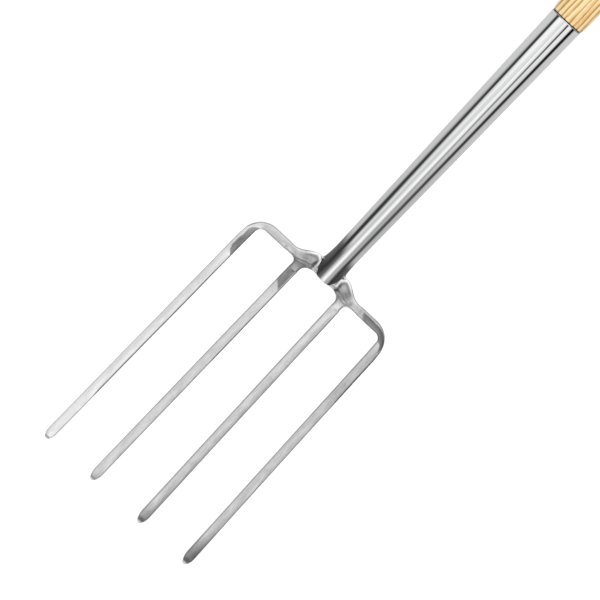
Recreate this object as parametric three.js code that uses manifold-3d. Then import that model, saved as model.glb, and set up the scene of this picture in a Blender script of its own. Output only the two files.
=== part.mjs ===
// Four-tine garden fork: forged stainless head, long tapered socket, ash shaft and T-grip.
// Units are millimetres. +Z runs up the shaft, the front faces -Y, and the tines point down.
// The origin is the middle of the crossbar's flat underside.

import * as THREE from 'three';
import { mergeVertices } from 'three/addons/utils/BufferGeometryUtils.js';
import Module from 'manifold-3d';

const wasm = await Module();
wasm.setup();

// ---- driving dimensions ----

const FIT_GAP = 0.3; // between two pieces that touch
const WELD_WIDTH = 1.6; // run of filler metal between two welded ends

const TINE_LENGTH = 299.5; // crossbar underside to tip
const TINE_WIDTH = 9.8; // seen from the front
const BAR_THICKNESS = 9; // front to back, tines and arms
const BAR_EDGE = 1.8; // rounding of every long edge
const NOSE_LENGTH = 12; // ground round nose
const NOSE_THICKNESS = 3.4; // at the very tip
const TINE_SWEEP = 11; // forward reach of the tips

const INNER_ROOT_X = 27.4; // tine centre lines at the crossbar
const OUTER_ROOT_X = 83;
const INNER_SPLAY = 3.6; // outward reach of the tips
const OUTER_SPLAY = 7.9;

const ARM_HEIGHT = 8.1;
const ARM_DROP = 2.3; // the arms' underside lies lower than the middle's
const ELBOW_OUTER_RADIUS = 23;
const ELBOW_INNER_RADIUS = 7.5;
const YOKE_HALF_SPAN = 46; // where each arm is welded on
const HIP_HEIGHT = 17.4; // shoulder beside the socket
const HIP_THICKNESS = 17;
const HIP_TOP_HALF = 15; // flat top of the shoulder
const HIP_FOOT_X = 42; // where the shoulder has come down to the arm
const HIP_TOP_PULL = 11; // how far the shoulder's curve holds its top and foot directions
const HIP_FOOT_PULL = 10;
const SWELL_START_X = 36; // thickening towards the middle starts here
const SWELL_RUN = 18;
const SWELL_START_DEPTH = 9.5; // and on a stub, this far below the underside
const SWELL_RISE = 14;
const STUB_DEPTH = 11.5; // stub that carries an inner tine
const STUB_OUTER_FILLET = 5;
const STUB_INNER_FILLET = 8.5;

const SOCKET_TOP = 337.8;
const SOCKET_MOUTH_RADIUS = 17.2;
const SOCKET_FOOT_RADIUS = 12.4; // at the top of the shoulders
const SOCKET_WALL = 1.8;
const TONGUE_TOP_HALF = 12.2; // front strip that runs down over the yoke
const TONGUE_END_HALF = 6.8;
const TONGUE_RISE = 1.5; // its end lies above the yoke's underside
const TANG_TOP = 62; // forged tang inside the socket
const COLLAR_MARGIN = 3; // ledge around the socket foot, and the bead's leg
const COLLAR_DRAFT = 1; // narrower at the underside
const COLLAR_FRONT = HIP_THICKNESS / 3; // the collar and the bead reach this far forward
const BEAD_HEIGHT = 3.4;
const BEAD_HOLLOW = 1 / 3; // share of each leg left at the hollow of the bead

const SHAFT_BOTTOM = 112;
const SHAFT_SHOULDER_RADIUS = 18.4;
const SHAFT_SHOULDER_RUN = 18; // rounding above the mouth
const SHAFT_SHOULDER_FULL = 0.2; // share of that run in which most of the rounding happens
const SHAFT_TOP_RADIUS = 16.4;
const SHAFT_STRAIGHT_RUN = 60; // untapered below the grip
const GRIP_HEIGHT = 730; // centre line of the T-grip
const GRIP_LENGTH = 132;
const GRIP_MIDDLE_RADIUS = 19;
const GRIP_HUB_FALL = 1; // the middle swelling has dropped this much at its edge
const GRIP_HUB_SHARE = 0.24; // of the half length, out to the swelling's edge
const GRIP_WAIST_RADIUS = 14.6;
const GRIP_WAIST_SHARE = 0.55;
const GRIP_END_RADIUS = 16;
const GRIP_END_ROUND = 5;
const SADDLE_DEPTH = 2.5; // flat under the grip where the shaft seats
const SADDLE_MARGIN = 2;
const TENON_RADIUS = 11;
const TENON_PROUD = 1;

const WEDGE_DEPTH = 20;
const WEDGE_TOP = 4; // thickness at the top
const WEDGE_TIP = 1.2;
const WEDGE_HALF_WIDTH = 9.4;
const PIN_RADIUS = 2;
const PIN_DROP = 9; // below the grip's centre line
const PIN_RECESS = 0.6;

const SCREW_HEIGHTS = { upper: 306, lower: 204 };
const SCREW_SHANK_RADIUS = 2.1;
const SCREW_LENGTH = 24;
const SCREW_HEAD_RADIUS = 4.6;
const SCREW_HEAD_HEIGHT = 2.6;
const SLOT_WIDTH = 1.1;
const SLOT_DEPTH = 1.1;

const OVERCUT = 1; // a cutting shape reaches this far past what it cuts
const MERGE_DISTANCE = 1e-4;
const ROUND_STEPS = 40; // facets around the tube, shaft and collar
const GRIP_STEPS = 32;
const SMALL_ROUND_STEPS = 24; // screws and pin
const EDGE_STEPS = 2;
const ARC_STEPS = 6;
const ELBOW_STEPS = 8;
const CURVE_STEPS = 10;
const TINE_STEPS = 10;

// ---- materials ----

function steel(name, color, roughness) {
  return new THREE.MeshStandardMaterial({ name, color, roughness, metalness: 1 });
}

function wood(name, color) {
  return new THREE.MeshStandardMaterial({ name, color, roughness: 0.55, metalness: 0 });
}

// ---- solids ----

function toSolid(geometry) {
  const bare = geometry.clone();
  for (const name of Object.keys(bare.attributes)) {
    if (name !== 'position') bare.deleteAttribute(name);
  }
  const merged = mergeVertices(bare, MERGE_DISTANCE);
  const mesh = new wasm.Mesh({
    numProp: 3,
    vertProperties: new Float32Array(merged.attributes.position.array),
    triVerts: new Uint32Array(merged.index.array),
  });
  return new wasm.Manifold(mesh);
}

function toGeometry(solid) {
  const mesh = solid.getMesh();
  const geometry = new THREE.BufferGeometry();
  geometry.setAttribute('position', new THREE.BufferAttribute(mesh.vertProperties, 3));
  geometry.setIndex(new THREE.BufferAttribute(mesh.triVerts, 1));
  geometry.computeVertexNormals();
  return geometry;
}

// A box given by its lowest and highest corners.
function block(low, high) {
  const size = high.map((value, axis) => value - low[axis]);
  const geometry = new THREE.BoxGeometry(...size);
  geometry.translate(...high.map((value, axis) => (value + low[axis]) / 2));
  return toSolid(geometry);
}

// A solid of revolution about Z from [radius, height] points that start and end on the axis.
function turned(points, steps = ROUND_STEPS) {
  const profile = points.map(([radius, height]) => new THREE.Vector2(radius, height));
  const geometry = new THREE.LatheGeometry(profile, steps);
  geometry.rotateX(Math.PI / 2);
  return geometry;
}

function cone(lowRadius, lowZ, highRadius, highZ) {
  return toSolid(turned([[0, lowZ], [lowRadius, lowZ], [highRadius, highZ], [0, highZ]]));
}

// A round bar along Y between two depths.
function barAlongY(radius, x, z, frontY, backY) {
  const geometry = new THREE.CylinderGeometry(radius, radius, backY - frontY, SMALL_ROUND_STEPS);
  geometry.translate(x, (frontY + backY) / 2, z);
  return toSolid(geometry);
}

// A front-view outline in X and Z, made `thickness` deep about Y = 0, with rounded edges.
function plate(outline, thickness, edge) {
  const geometry = new THREE.ExtrudeGeometry(new THREE.Shape(outline), {
    depth: thickness - 2 * edge,
    bevelEnabled: edge > 0,
    bevelThickness: edge,
    bevelSize: edge,
    bevelOffset: -edge,
    bevelSegments: EDGE_STEPS,
  });
  geometry.rotateX(Math.PI / 2);
  geometry.translate(0, thickness / 2 - edge, 0);
  return geometry;
}

// Moves every vertex's Y by a rule of its place.
function bend(geometry, rule) {
  const position = geometry.attributes.position;
  for (let i = 0; i < position.count; i += 1) {
    position.setY(i, rule(position.getX(i), position.getY(i), position.getZ(i)));
  }
  return geometry;
}

// ---- outlines ----

const point = (x, z) => new THREE.Vector2(x, z);
const mirrored = (points) => points.map(({ x, y }) => point(-x, y)).reverse();

function arc(x, z, radius, fromDegrees, toDegrees, steps = ARC_STEPS) {
  const clockwise = toDegrees < fromDegrees;
  const [from, to] = [fromDegrees, toDegrees].map(THREE.MathUtils.degToRad);
  const curve = new THREE.EllipseCurve(x, z, radius, radius, from, to, clockwise);
  return curve.getPoints(steps);
}

// Evenly spaced points from one place to another, without the first.
function run(from, to, steps) {
  return new THREE.LineCurve(from, to).getPoints(steps).slice(1);
}

function smooth(value) {
  const t = THREE.MathUtils.clamp(value, 0, 1);
  return t * t * (3 - 2 * t);
}

// ---- tines ----

const ARM_TOP = ARM_HEIGHT - ARM_DROP;
const NOSE_START = NOSE_LENGTH - TINE_LENGTH;

// How far forward a tine's middle lies at a height.
const sweepAt = (z) => TINE_SWEEP * (Math.min(z, 0) / TINE_LENGTH) ** 2;

// The outline down the outer side from outerZ, round the nose and up the inner side to innerZ.
function tineSides(rootX, splay, outerZ, innerZ) {
  const centreAt = (z) => rootX + splay * (-z / TINE_LENGTH);
  const half = TINE_WIDTH / 2;
  const noseX = centreAt(NOSE_START);
  const nose = new THREE.EllipseCurve(noseX, NOSE_START, half, NOSE_LENGTH, 0, -Math.PI, true);
  return [
    ...run(point(centreAt(outerZ) + half, outerZ), point(noseX + half, NOSE_START), TINE_STEPS),
    ...nose.getPoints(CURVE_STEPS).slice(1, -1),
    point(noseX - half, NOSE_START),
    ...run(point(noseX - half, NOSE_START), point(centreAt(innerZ) - half, innerZ), TINE_STEPS),
  ];
}

// Thins the nose and sweeps the bar forward.
function shapeTine(x, y, z) {
  const toTip = THREE.MathUtils.clamp((NOSE_START - z) / NOSE_LENGTH, 0, 1);
  const thin = THREE.MathUtils.lerp(1, NOSE_THICKNESS / BAR_THICKNESS, toTip ** 2);
  return y * thin - sweepAt(z);
}

function outerTine() {
  const outerX = OUTER_ROOT_X + TINE_WIDTH / 2;
  const innerX = OUTER_ROOT_X - TINE_WIDTH / 2;
  const startX = YOKE_HALF_SPAN + WELD_WIDTH + 2 * FIT_GAP;
  const outerZ = ARM_TOP - ELBOW_OUTER_RADIUS;
  const innerZ = -ARM_DROP - ELBOW_INNER_RADIUS;
  const outline = [
    point(startX, ARM_TOP),
    ...arc(outerX - ELBOW_OUTER_RADIUS, outerZ, ELBOW_OUTER_RADIUS, 90, 0, ELBOW_STEPS),
    ...tineSides(OUTER_ROOT_X, OUTER_SPLAY, outerZ, innerZ),
    ...arc(innerX - ELBOW_INNER_RADIUS, innerZ, ELBOW_INNER_RADIUS, 0, 90).slice(1),
    point(startX, -ARM_DROP),
  ];
  return toSolid(bend(plate(outline, BAR_THICKNESS, BAR_EDGE), shapeTine));
}

function innerTine() {
  const startZ = -(STUB_DEPTH + WELD_WIDTH + 2 * FIT_GAP);
  const centreX = INNER_ROOT_X + INNER_SPLAY * (-startZ / TINE_LENGTH);
  const outline = [
    point(centreX + TINE_WIDTH / 2, startZ),
    ...tineSides(INNER_ROOT_X, INNER_SPLAY, startZ, startZ),
  ];
  return toSolid(bend(plate(outline, BAR_THICKNESS, BAR_EDGE), shapeTine));
}

const mirrorX = (solid) => solid.scale([-1, 1, 1]);

// ---- welds between the bars ----

function armWeld() {
  const low = YOKE_HALF_SPAN + FIT_GAP;
  const outline = [
    point(low, -ARM_DROP),
    point(low + WELD_WIDTH, -ARM_DROP),
    point(low + WELD_WIDTH, ARM_TOP),
    point(low, ARM_TOP),
  ];
  return toSolid(plate(outline, BAR_THICKNESS - BAR_EDGE, 0));
}

function tineWeld() {
  const topZ = -(STUB_DEPTH + FIT_GAP);
  const centreX = INNER_ROOT_X + INNER_SPLAY * (-topZ / TINE_LENGTH);
  const half = TINE_WIDTH / 2;
  const outline = [
    point(centreX - half, topZ - WELD_WIDTH),
    point(centreX + half, topZ - WELD_WIDTH),
    point(centreX + half, topZ),
    point(centreX - half, topZ),
  ];
  return toSolid(bend(plate(outline, BAR_THICKNESS - BAR_EDGE, 0), shapeTine));
}

// ---- socket ----

const SOCKET_TAPER = (SOCKET_MOUTH_RADIUS - SOCKET_FOOT_RADIUS) / (SOCKET_TOP - HIP_HEIGHT);
const socketRadiusAt = (z) => SOCKET_FOOT_RADIUS + SOCKET_TAPER * (z - HIP_HEIGHT);
const boreRadiusAt = (z) => socketRadiusAt(z) - SOCKET_WALL;

// The tapered tube with its front tongue, or with `grow` the room that it needs.
function socketShell(grow) {
  const lowZ = TONGUE_RISE - grow;
  const highZ = SOCKET_TOP + grow;
  const far = 2 * SOCKET_MOUTH_RADIUS;
  const outer = cone(
    socketRadiusAt(lowZ) + grow, lowZ, socketRadiusAt(highZ) + grow, highZ,
  );
  const bore = cone(
    boreRadiusAt(lowZ - OVERCUT) - grow, lowZ - OVERCUT,
    boreRadiusAt(highZ + OVERCUT) - grow, highZ + OVERCUT,
  );
  const tube = block([-far, -far, HIP_HEIGHT + FIT_GAP - grow], [far, far, highZ]);
  const tongueSides = [
    point(TONGUE_END_HALF + grow, lowZ),
    point(TONGUE_TOP_HALF + grow, HIP_HEIGHT + OVERCUT),
  ];
  const tongue = toSolid(plate([...tongueSides, ...mirrored(tongueSides)], 2 * far, 0));
  const front = tongue.intersect(block([-far, -far, lowZ - OVERCUT], [far, grow, highZ]));
  return outer.subtract(bore).intersect(tube.add(front));
}

// Where a screw's head seats on the tapered tube.
const screwSeatAt = (z) => socketRadiusAt(z + SCREW_HEAD_RADIUS) + FIT_GAP;

function screwRoom(z, clearance) {
  const seatY = screwSeatAt(z);
  const frontY = seatY - SCREW_LENGTH - clearance;
  return barAlongY(SCREW_SHANK_RADIUS + clearance, 0, z, frontY, seatY);
}

function socket() {
  let shell = socketShell(0);
  for (const z of Object.values(SCREW_HEIGHTS)) {
    shell = shell.subtract(screwRoom(z, 2 * FIT_GAP));
  }
  return shell;
}

// All that lies in front of the collar and the bead between two heights.
function frontBlock(lowZ, highZ) {
  const far = 2 * SOCKET_MOUTH_RADIUS;
  return block([-far, -far, lowZ], [far, -COLLAR_FRONT, highZ]);
}

// Fillet bead around the back and the sides of the socket's foot.
function socketWeld() {
  const lowZ = HIP_HEIGHT + FIT_GAP;
  const highZ = lowZ + BEAD_HEIGHT;
  const innerLow = socketRadiusAt(lowZ) + FIT_GAP;
  const innerHigh = socketRadiusAt(highZ) + FIT_GAP;
  const ring = toSolid(turned([
    [innerLow, lowZ],
    [innerLow + COLLAR_MARGIN, lowZ],
    [innerLow + COLLAR_MARGIN * BEAD_HOLLOW, lowZ + BEAD_HEIGHT * BEAD_HOLLOW],
    [innerHigh + FIT_GAP, highZ],
    [innerHigh, highZ],
    [innerLow, lowZ],
  ]));
  return ring.subtract(frontBlock(lowZ - OVERCUT, highZ + OVERCUT));
}

// ---- yoke: shoulders, stubs, collar and tang in one forging ----

function yokeOutline() {
  const shoulder = new THREE.CubicBezierCurve(
    point(HIP_TOP_HALF, HIP_HEIGHT),
    point(HIP_TOP_HALF + HIP_TOP_PULL, HIP_HEIGHT),
    point(HIP_FOOT_X - HIP_FOOT_PULL, ARM_TOP),
    point(HIP_FOOT_X, ARM_TOP),
  );
  const stubX = INNER_ROOT_X + INNER_SPLAY * (STUB_DEPTH / TINE_LENGTH);
  const outerX = stubX + TINE_WIDTH / 2;
  const innerX = stubX - TINE_WIDTH / 2;
  const filletZ = -ARM_DROP - STUB_OUTER_FILLET;
  const right = [
    ...shoulder.getPoints(CURVE_STEPS),
    point(YOKE_HALF_SPAN, ARM_TOP),
    point(YOKE_HALF_SPAN, -ARM_DROP),
    ...arc(outerX + STUB_OUTER_FILLET, filletZ, STUB_OUTER_FILLET, 90, 180),
    point(outerX, -STUB_DEPTH),
    point(innerX, -STUB_DEPTH),
    ...arc(innerX - STUB_INNER_FILLET, -STUB_INNER_FILLET, STUB_INNER_FILLET, 0, 90),
  ];
  return [...right, ...mirrored(right)];
}

// The plate swells from the bar's thickness to the shoulder's beside the socket.
function shapeYoke(x, y, z) {
  const towardsMiddle = smooth((SWELL_START_X - Math.abs(x)) / SWELL_RUN);
  const aboveStub = smooth((z + SWELL_START_DEPTH) / SWELL_RISE);
  const swell = (HIP_THICKNESS / BAR_THICKNESS - 1) * towardsMiddle * aboveStub;
  return y * (1 + swell) - sweepAt(z);
}

function yoke() {
  const shoulders = toSolid(bend(plate(yokeOutline(), BAR_THICKNESS, BAR_EDGE), shapeYoke));
  const collarRadius = SOCKET_FOOT_RADIUS + COLLAR_MARGIN;
  const collar = cone(collarRadius - COLLAR_DRAFT, 0, collarRadius, HIP_HEIGHT)
    .subtract(frontBlock(-OVERCUT, HIP_HEIGHT + OVERCUT));
  const tang = cone(boreRadiusAt(0) - FIT_GAP, 0, boreRadiusAt(TANG_TOP) - FIT_GAP, TANG_TOP);
  return shoulders.add(collar).add(tang).subtract(socketShell(FIT_GAP));
}

// ---- screws in the back of the socket ----

function socketScrew(z) {
  const seatY = screwSeatAt(z);
  const dome = new THREE.EllipseCurve(0, 0, SCREW_HEAD_RADIUS, SCREW_HEAD_HEIGHT, 0, Math.PI / 2);
  const geometry = turned([
    [0, -SCREW_LENGTH],
    [SCREW_SHANK_RADIUS, 2 * SCREW_SHANK_RADIUS - SCREW_LENGTH],
    [SCREW_SHANK_RADIUS, 0],
    ...dome.getPoints(ARC_STEPS).slice(0, -1).map(({ x, y }) => [x, y]),
    [0, SCREW_HEAD_HEIGHT],
  ], SMALL_ROUND_STEPS);
  geometry.rotateX(-Math.PI / 2);
  geometry.translate(0, seatY, z);
  const headTop = seatY + SCREW_HEAD_HEIGHT;
  const slot = block(
    [-SCREW_HEAD_RADIUS, headTop - SLOT_DEPTH, z - SLOT_WIDTH / 2],
    [SCREW_HEAD_RADIUS, headTop + OVERCUT, z + SLOT_WIDTH / 2],
  );
  return toSolid(geometry).subtract(slot);
}

// ---- shaft ----

const SEAT_HEIGHT = GRIP_HEIGHT - GRIP_MIDDLE_RADIUS + SADDLE_DEPTH;
const TENON_TOP = GRIP_HEIGHT + GRIP_MIDDLE_RADIUS + TENON_PROUD;
const PIN_HEIGHT = GRIP_HEIGHT - PIN_DROP;

function shaftProfile() {
  const mouth = SOCKET_TOP + FIT_GAP;
  const joint = SOCKET_MOUTH_RADIUS - FIT_GAP;
  const round = new THREE.QuadraticBezierCurve(
    point(joint, mouth),
    point(SHAFT_SHOULDER_RADIUS, mouth + SHAFT_SHOULDER_RUN * SHAFT_SHOULDER_FULL),
    point(SHAFT_SHOULDER_RADIUS, mouth + SHAFT_SHOULDER_RUN),
  );
  const seat = SEAT_HEIGHT - FIT_GAP;
  return [
    [0, SHAFT_BOTTOM],
    [boreRadiusAt(SHAFT_BOTTOM) - FIT_GAP, SHAFT_BOTTOM],
    [boreRadiusAt(mouth) - FIT_GAP, mouth],
    ...round.getPoints(ARC_STEPS).map(({ x, y }) => [x, y]),
    [SHAFT_TOP_RADIUS, seat - SHAFT_STRAIGHT_RUN],
    [SHAFT_TOP_RADIUS, seat],
    [TENON_RADIUS, seat],
    [TENON_RADIUS, TENON_TOP],
    [0, TENON_TOP],
  ];
}

// The wedge, or with `grow` the kerf that holds it.
function wedge(grow) {
  const tip = TENON_TOP - WEDGE_DEPTH - grow;
  const top = TENON_TOP + grow;
  const sides = [
    point(WEDGE_TIP / 2 + grow, tip),
    point(WEDGE_TOP / 2 + grow, top),
  ];
  const halfWidth = grow > 0 ? 2 * TENON_RADIUS : WEDGE_HALF_WIDTH;
  return toSolid(plate([...sides, ...mirrored(sides)], 2 * halfWidth, 0));
}

function shaft() {
  let solid = toSolid(turned(shaftProfile()));
  for (const z of Object.values(SCREW_HEIGHTS)) {
    solid = solid.subtract(screwRoom(z, FIT_GAP));
  }
  const far = 2 * GRIP_MIDDLE_RADIUS;
  return solid
    .subtract(wedge(FIT_GAP))
    .subtract(barAlongY(PIN_RADIUS + FIT_GAP, 0, PIN_HEIGHT, -far, far));
}

// ---- T-grip ----

function gripProfile() {
  const half = GRIP_LENGTH / 2;
  const barrel = new THREE.SplineCurve([
    point(GRIP_MIDDLE_RADIUS, 0),
    point(GRIP_MIDDLE_RADIUS - GRIP_HUB_FALL, half * GRIP_HUB_SHARE),
    point(GRIP_WAIST_RADIUS, half * GRIP_WAIST_SHARE),
    point(GRIP_END_RADIUS, half - GRIP_END_ROUND),
  ]);
  const end = arc(GRIP_END_RADIUS - GRIP_END_ROUND, half - GRIP_END_ROUND, GRIP_END_ROUND, 0, 90);
  const upper = [...barrel.getPoints(CURVE_STEPS), ...end.slice(1), point(0, half)];
  const lower = upper.slice(1).map(({ x, y }) => point(x, -y)).reverse();
  return [...lower, ...upper].map(({ x, y }) => [Math.max(x, 0), y]);
}

function grip() {
  const geometry = turned(gripProfile(), GRIP_STEPS);
  geometry.rotateY(Math.PI / 2);
  geometry.translate(0, 0, GRIP_HEIGHT);
  const far = 2 * GRIP_MIDDLE_RADIUS;
  const saddleRadius = SHAFT_TOP_RADIUS + SADDLE_MARGIN;
  const saddle = cone(saddleRadius, SEAT_HEIGHT - far, saddleRadius, SEAT_HEIGHT);
  const mortise = cone(
    TENON_RADIUS + FIT_GAP, SEAT_HEIGHT - far, TENON_RADIUS + FIT_GAP, TENON_TOP + OVERCUT,
  );
  return toSolid(geometry)
    .subtract(saddle)
    .subtract(mortise)
    .subtract(barAlongY(PIN_RADIUS + FIT_GAP, 0, PIN_HEIGHT, -far, far));
}

function gripPin() {
  const reach = Math.sqrt(GRIP_MIDDLE_RADIUS ** 2 - PIN_DROP ** 2) - PIN_RECESS;
  return barAlongY(PIN_RADIUS, 0, PIN_HEIGHT, -reach, reach);
}

// ---- assembly ----

const brushedSteel = steel('brushed_steel', 0xc9cbcc, 0.38);
const weldSteel = steel('ground_weld', 0xbfc1c2, 0.45);
const polishedSteel = steel('polished_steel', 0xdfe1e2, 0.1);
const screwSteel = steel('screw_steel', 0xb4b6b8, 0.3);
const ash = wood('ash', 0xe6cc98);
const wedgeWood = wood('hardwood_wedge', 0xa8794a);

function named(name, solid, material) {
  const mesh = new THREE.Mesh(toGeometry(solid), material);
  mesh.name = name;
  return mesh;
}

const fork = new THREE.Group();

const head = new THREE.Group();
head.add(named('yoke', yoke(), brushedSteel));
for (const [side, place] of [['right', (solid) => solid], ['left', mirrorX]]) {
  head.add(named(`outer_tine_${side}`, place(outerTine()), brushedSteel));
  head.add(named(`inner_tine_${side}`, place(innerTine()), brushedSteel));
  head.add(named(`arm_weld_${side}`, place(armWeld()), weldSteel));
  head.add(named(`tine_weld_${side}`, place(tineWeld()), weldSteel));
}
fork.add(head);

fork.add(named('socket', socket(), polishedSteel));
fork.add(named('socket_weld', socketWeld(), weldSteel));
for (const [place, z] of Object.entries(SCREW_HEIGHTS)) {
  fork.add(named(`socket_screw_${place}`, socketScrew(z), screwSteel));
}

const handle = new THREE.Group();
handle.add(named('shaft', shaft(), ash));
handle.add(named('t_grip', grip(), ash));
handle.add(named('tenon_wedge', wedge(0), wedgeWood));
handle.add(named('grip_pin', gripPin(), screwSteel));
fork.add(handle);

export default fork;
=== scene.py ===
import math
import bmesh
import bpy
from mathutils import Matrix, Vector, noise


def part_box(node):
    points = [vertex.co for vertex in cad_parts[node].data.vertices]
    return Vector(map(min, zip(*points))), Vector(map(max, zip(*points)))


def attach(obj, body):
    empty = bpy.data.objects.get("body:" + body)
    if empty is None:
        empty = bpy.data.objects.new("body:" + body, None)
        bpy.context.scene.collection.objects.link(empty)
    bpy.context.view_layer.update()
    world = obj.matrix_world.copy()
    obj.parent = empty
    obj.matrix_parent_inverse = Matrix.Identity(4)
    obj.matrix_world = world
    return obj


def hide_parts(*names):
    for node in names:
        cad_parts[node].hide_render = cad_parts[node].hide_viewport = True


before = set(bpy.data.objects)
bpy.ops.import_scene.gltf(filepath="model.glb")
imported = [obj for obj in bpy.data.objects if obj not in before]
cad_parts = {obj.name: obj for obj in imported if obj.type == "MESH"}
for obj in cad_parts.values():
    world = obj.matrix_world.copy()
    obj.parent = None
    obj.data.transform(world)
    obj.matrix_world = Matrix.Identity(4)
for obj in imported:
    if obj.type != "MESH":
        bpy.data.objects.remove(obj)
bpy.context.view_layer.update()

MM = 0.001
BODY = "root"


# ---- places and sizes taken from the frame ----

def centre_near(node, height, reach=2 * MM):
    """Middle of a node's solid near one height."""
    spots = [v.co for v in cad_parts[node].data.vertices if abs(v.co.z - height) < reach]
    low = Vector(min(s[i] for s in spots) for i in range(3))
    high = Vector(max(s[i] for s in spots) for i in range(3))
    return (low + high) / 2


arm_weld_low, arm_weld_high = map(Vector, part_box("arm_weld_right"))
tine_weld_low, tine_weld_high = map(Vector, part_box("tine_weld_right"))
outer_low, outer_high = map(Vector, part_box("outer_tine_right"))
yoke_high = Vector(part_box("yoke")[1])
socket_low, socket_high = map(Vector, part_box("socket"))
bead_low, bead_high = map(Vector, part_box("socket_weld"))
shaft_low, shaft_high = map(Vector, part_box("shaft"))
grip_low, grip_high = map(Vector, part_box("t_grip"))
wedge_low, wedge_high = map(Vector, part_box("tenon_wedge"))
pin_low, pin_high = map(Vector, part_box("grip_pin"))

FIT_GAP = 0.3 * MM  # between two pieces that touch
BAR_HALF_DEEP = outer_high.y
TINE_HALF_WIDE = (tine_weld_high.x - tine_weld_low.x) / 2
ARM_TOP = arm_weld_high.z
ARM_BOTTOM = arm_weld_low.z
TIP_HEIGHT = outer_low.z
ELBOW_OUTER = 23 * MM  # outside and inside radius of the bent corner
ELBOW_INNER = 7.5 * MM
NOSE_LENGTH = 12 * MM
LEFT, RIGHT = -1, 1
SIDES = ((RIGHT, "right"), (LEFT, "left"))

SOCKET_TOP = socket_high.z
MOUTH_RADIUS = socket_high.x
SOCKET_WALL = 1.8 * MM
FOOT_RADIUS = 12.4 * MM
SHOULDER_TOP = bead_low.z - FIT_GAP


# ---- small helpers ----

def add_object(name, mesh):
    thing = bpy.data.objects.new(name, mesh)
    bpy.context.scene.collection.objects.link(thing)
    return thing


def ready(piece, slot, *nodes):
    """Every piece rides on the one body and stands for its CAD nodes."""
    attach(piece, BODY)
    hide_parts(*nodes)


def shaped_mesh(thing):
    """The object's mesh with its modifiers applied; the modifiers are taken off."""
    mesh = bpy.data.meshes.new_from_object(thing.evaluated_get(bpy.context.evaluated_depsgraph_get()))
    thing.modifiers.clear()
    return mesh


def smooth_shade(mesh, crisp_above=42):
    """Shades smooth, but keeps edges that turn by more than an angle in degrees crisp."""
    mesh.polygons.foreach_set("use_smooth", [True] * len(mesh.polygons))
    mesh.set_sharp_from_angle(angle=math.radians(crisp_above))


def finish_mesh(mesh):
    """Merges doubles, turns the faces outward and shades them smooth."""
    work = bmesh.new()
    work.from_mesh(mesh)
    bmesh.ops.remove_doubles(work, verts=work.verts, dist=0.002 * MM)
    bmesh.ops.recalc_face_normals(work, faces=work.faces)
    work.to_mesh(mesh)
    work.free()
    smooth_shade(mesh)


def rings_mesh(name, rings, closed=False):
    """A skin through rings of equal length; open ends get a cap, or the last ring joins the first."""
    count = len(rings[0])
    spots = [spot for ring in rings for spot in ring]
    faces = []
    pairs = len(rings) if closed else len(rings) - 1
    for i in range(pairs):
        here = i * count
        after = ((i + 1) % len(rings)) * count
        for j in range(count):
            k = (j + 1) % count
            faces.append((here + j, here + k, after + k, after + j))
    if not closed:
        faces.append(tuple(range(count)))
        faces.append(tuple(range(len(spots) - count, len(spots))))
    mesh = bpy.data.meshes.new(name)
    mesh.from_pydata(spots, [], faces)
    finish_mesh(mesh)
    return mesh


def circle(count):
    """Evenly spaced angles once round."""
    return [2 * math.pi * i / count for i in range(count)]


def ring_about_x(radius, x, height, around=96):
    return [Vector((x, radius * math.cos(a), height + radius * math.sin(a))) for a in circle(around)]


def ring_about_y(radius, y, height, around=32):
    return [Vector((radius * math.cos(a), y, height + radius * math.sin(a))) for a in circle(around)]


def ring_about_z(radius, z, around=48):
    return [Vector((radius * math.cos(a), radius * math.sin(a), z)) for a in circle(around)]


def mark_numbers(mesh, key, numbers):
    """Stores one number on each point."""
    mesh.attributes.new(key, "FLOAT", "POINT").data.foreach_set("value", numbers)


def mark_vectors(mesh, key, vectors):
    flat = [part for vector in vectors for part in vector]
    mesh.attributes.new(key, "FLOAT_VECTOR", "POINT").data.foreach_set("vector", flat)


def clamped(value):
    return min(max(value, 0), 1)


def blend(low, high, value):
    """0 at low, 1 at high, and a smooth step between."""
    t = clamped((value - low) / (high - low))
    return t * t * (3 - 2 * t)


def squared(value, power):
    """Bulges a sine or cosine, so that a round section becomes a squarer one."""
    return math.copysign(abs(value) ** power, value)


def mix(first, second, t):
    return first + (second - first) * t


# ---- node trees ----

def wire(tree, socket, value):
    if isinstance(value, bpy.types.NodeSocket):
        tree.links.new(value, socket)
    else:
        socket.default_value = value


def add_node(tree, kind, inputs=None, **settings):
    node = tree.nodes.new(kind)
    for key, value in settings.items():
        setattr(node, key, value)
    for key, value in (inputs or {}).items():
        wire(tree, node.inputs[key], value)
    return node


def maths(tree, operation, *values):
    node = add_node(tree, "ShaderNodeMath", operation=operation)
    for socket, value in zip(node.inputs, values):
        wire(tree, socket, value)
    return node.outputs[0]


def total(tree, first, *others):
    for other in others:
        first = maths(tree, "ADD", first, other)
    return first


def times(tree, first, second):
    return maths(tree, "MULTIPLY", first, second)


def vector_maths(tree, operation, *values):
    node = add_node(tree, "ShaderNodeVectorMath", operation=operation)
    for socket, value in zip(node.inputs, values):
        wire(tree, socket, value)
    return node.outputs["Value" if operation == "LENGTH" else "Vector"]


def scaled(tree, vector, factor):
    node = add_node(tree, "ShaderNodeVectorMath", operation="SCALE")
    wire(tree, node.inputs[0], vector)
    wire(tree, node.inputs["Scale"], factor)
    return node.outputs["Vector"]


def remap(tree, value, from_low, from_high, to_low, to_high):
    node = add_node(tree, "ShaderNodeMapRange", {
        "Value": value, "From Min": from_low, "From Max": from_high,
        "To Min": to_low, "To Max": to_high,
    })
    return node.outputs["Result"]


def swing(tree, noise_value, low, high):
    """Spreads a noise, which mostly stays between 0.3 and 0.7, from low to high."""
    return remap(tree, noise_value, 0.3, 0.7, low, high)


def greys(*stops):
    """Colour stops from (place, grey level) pairs."""
    return [(place, (level,) * 3) for place, level in stops]


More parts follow.
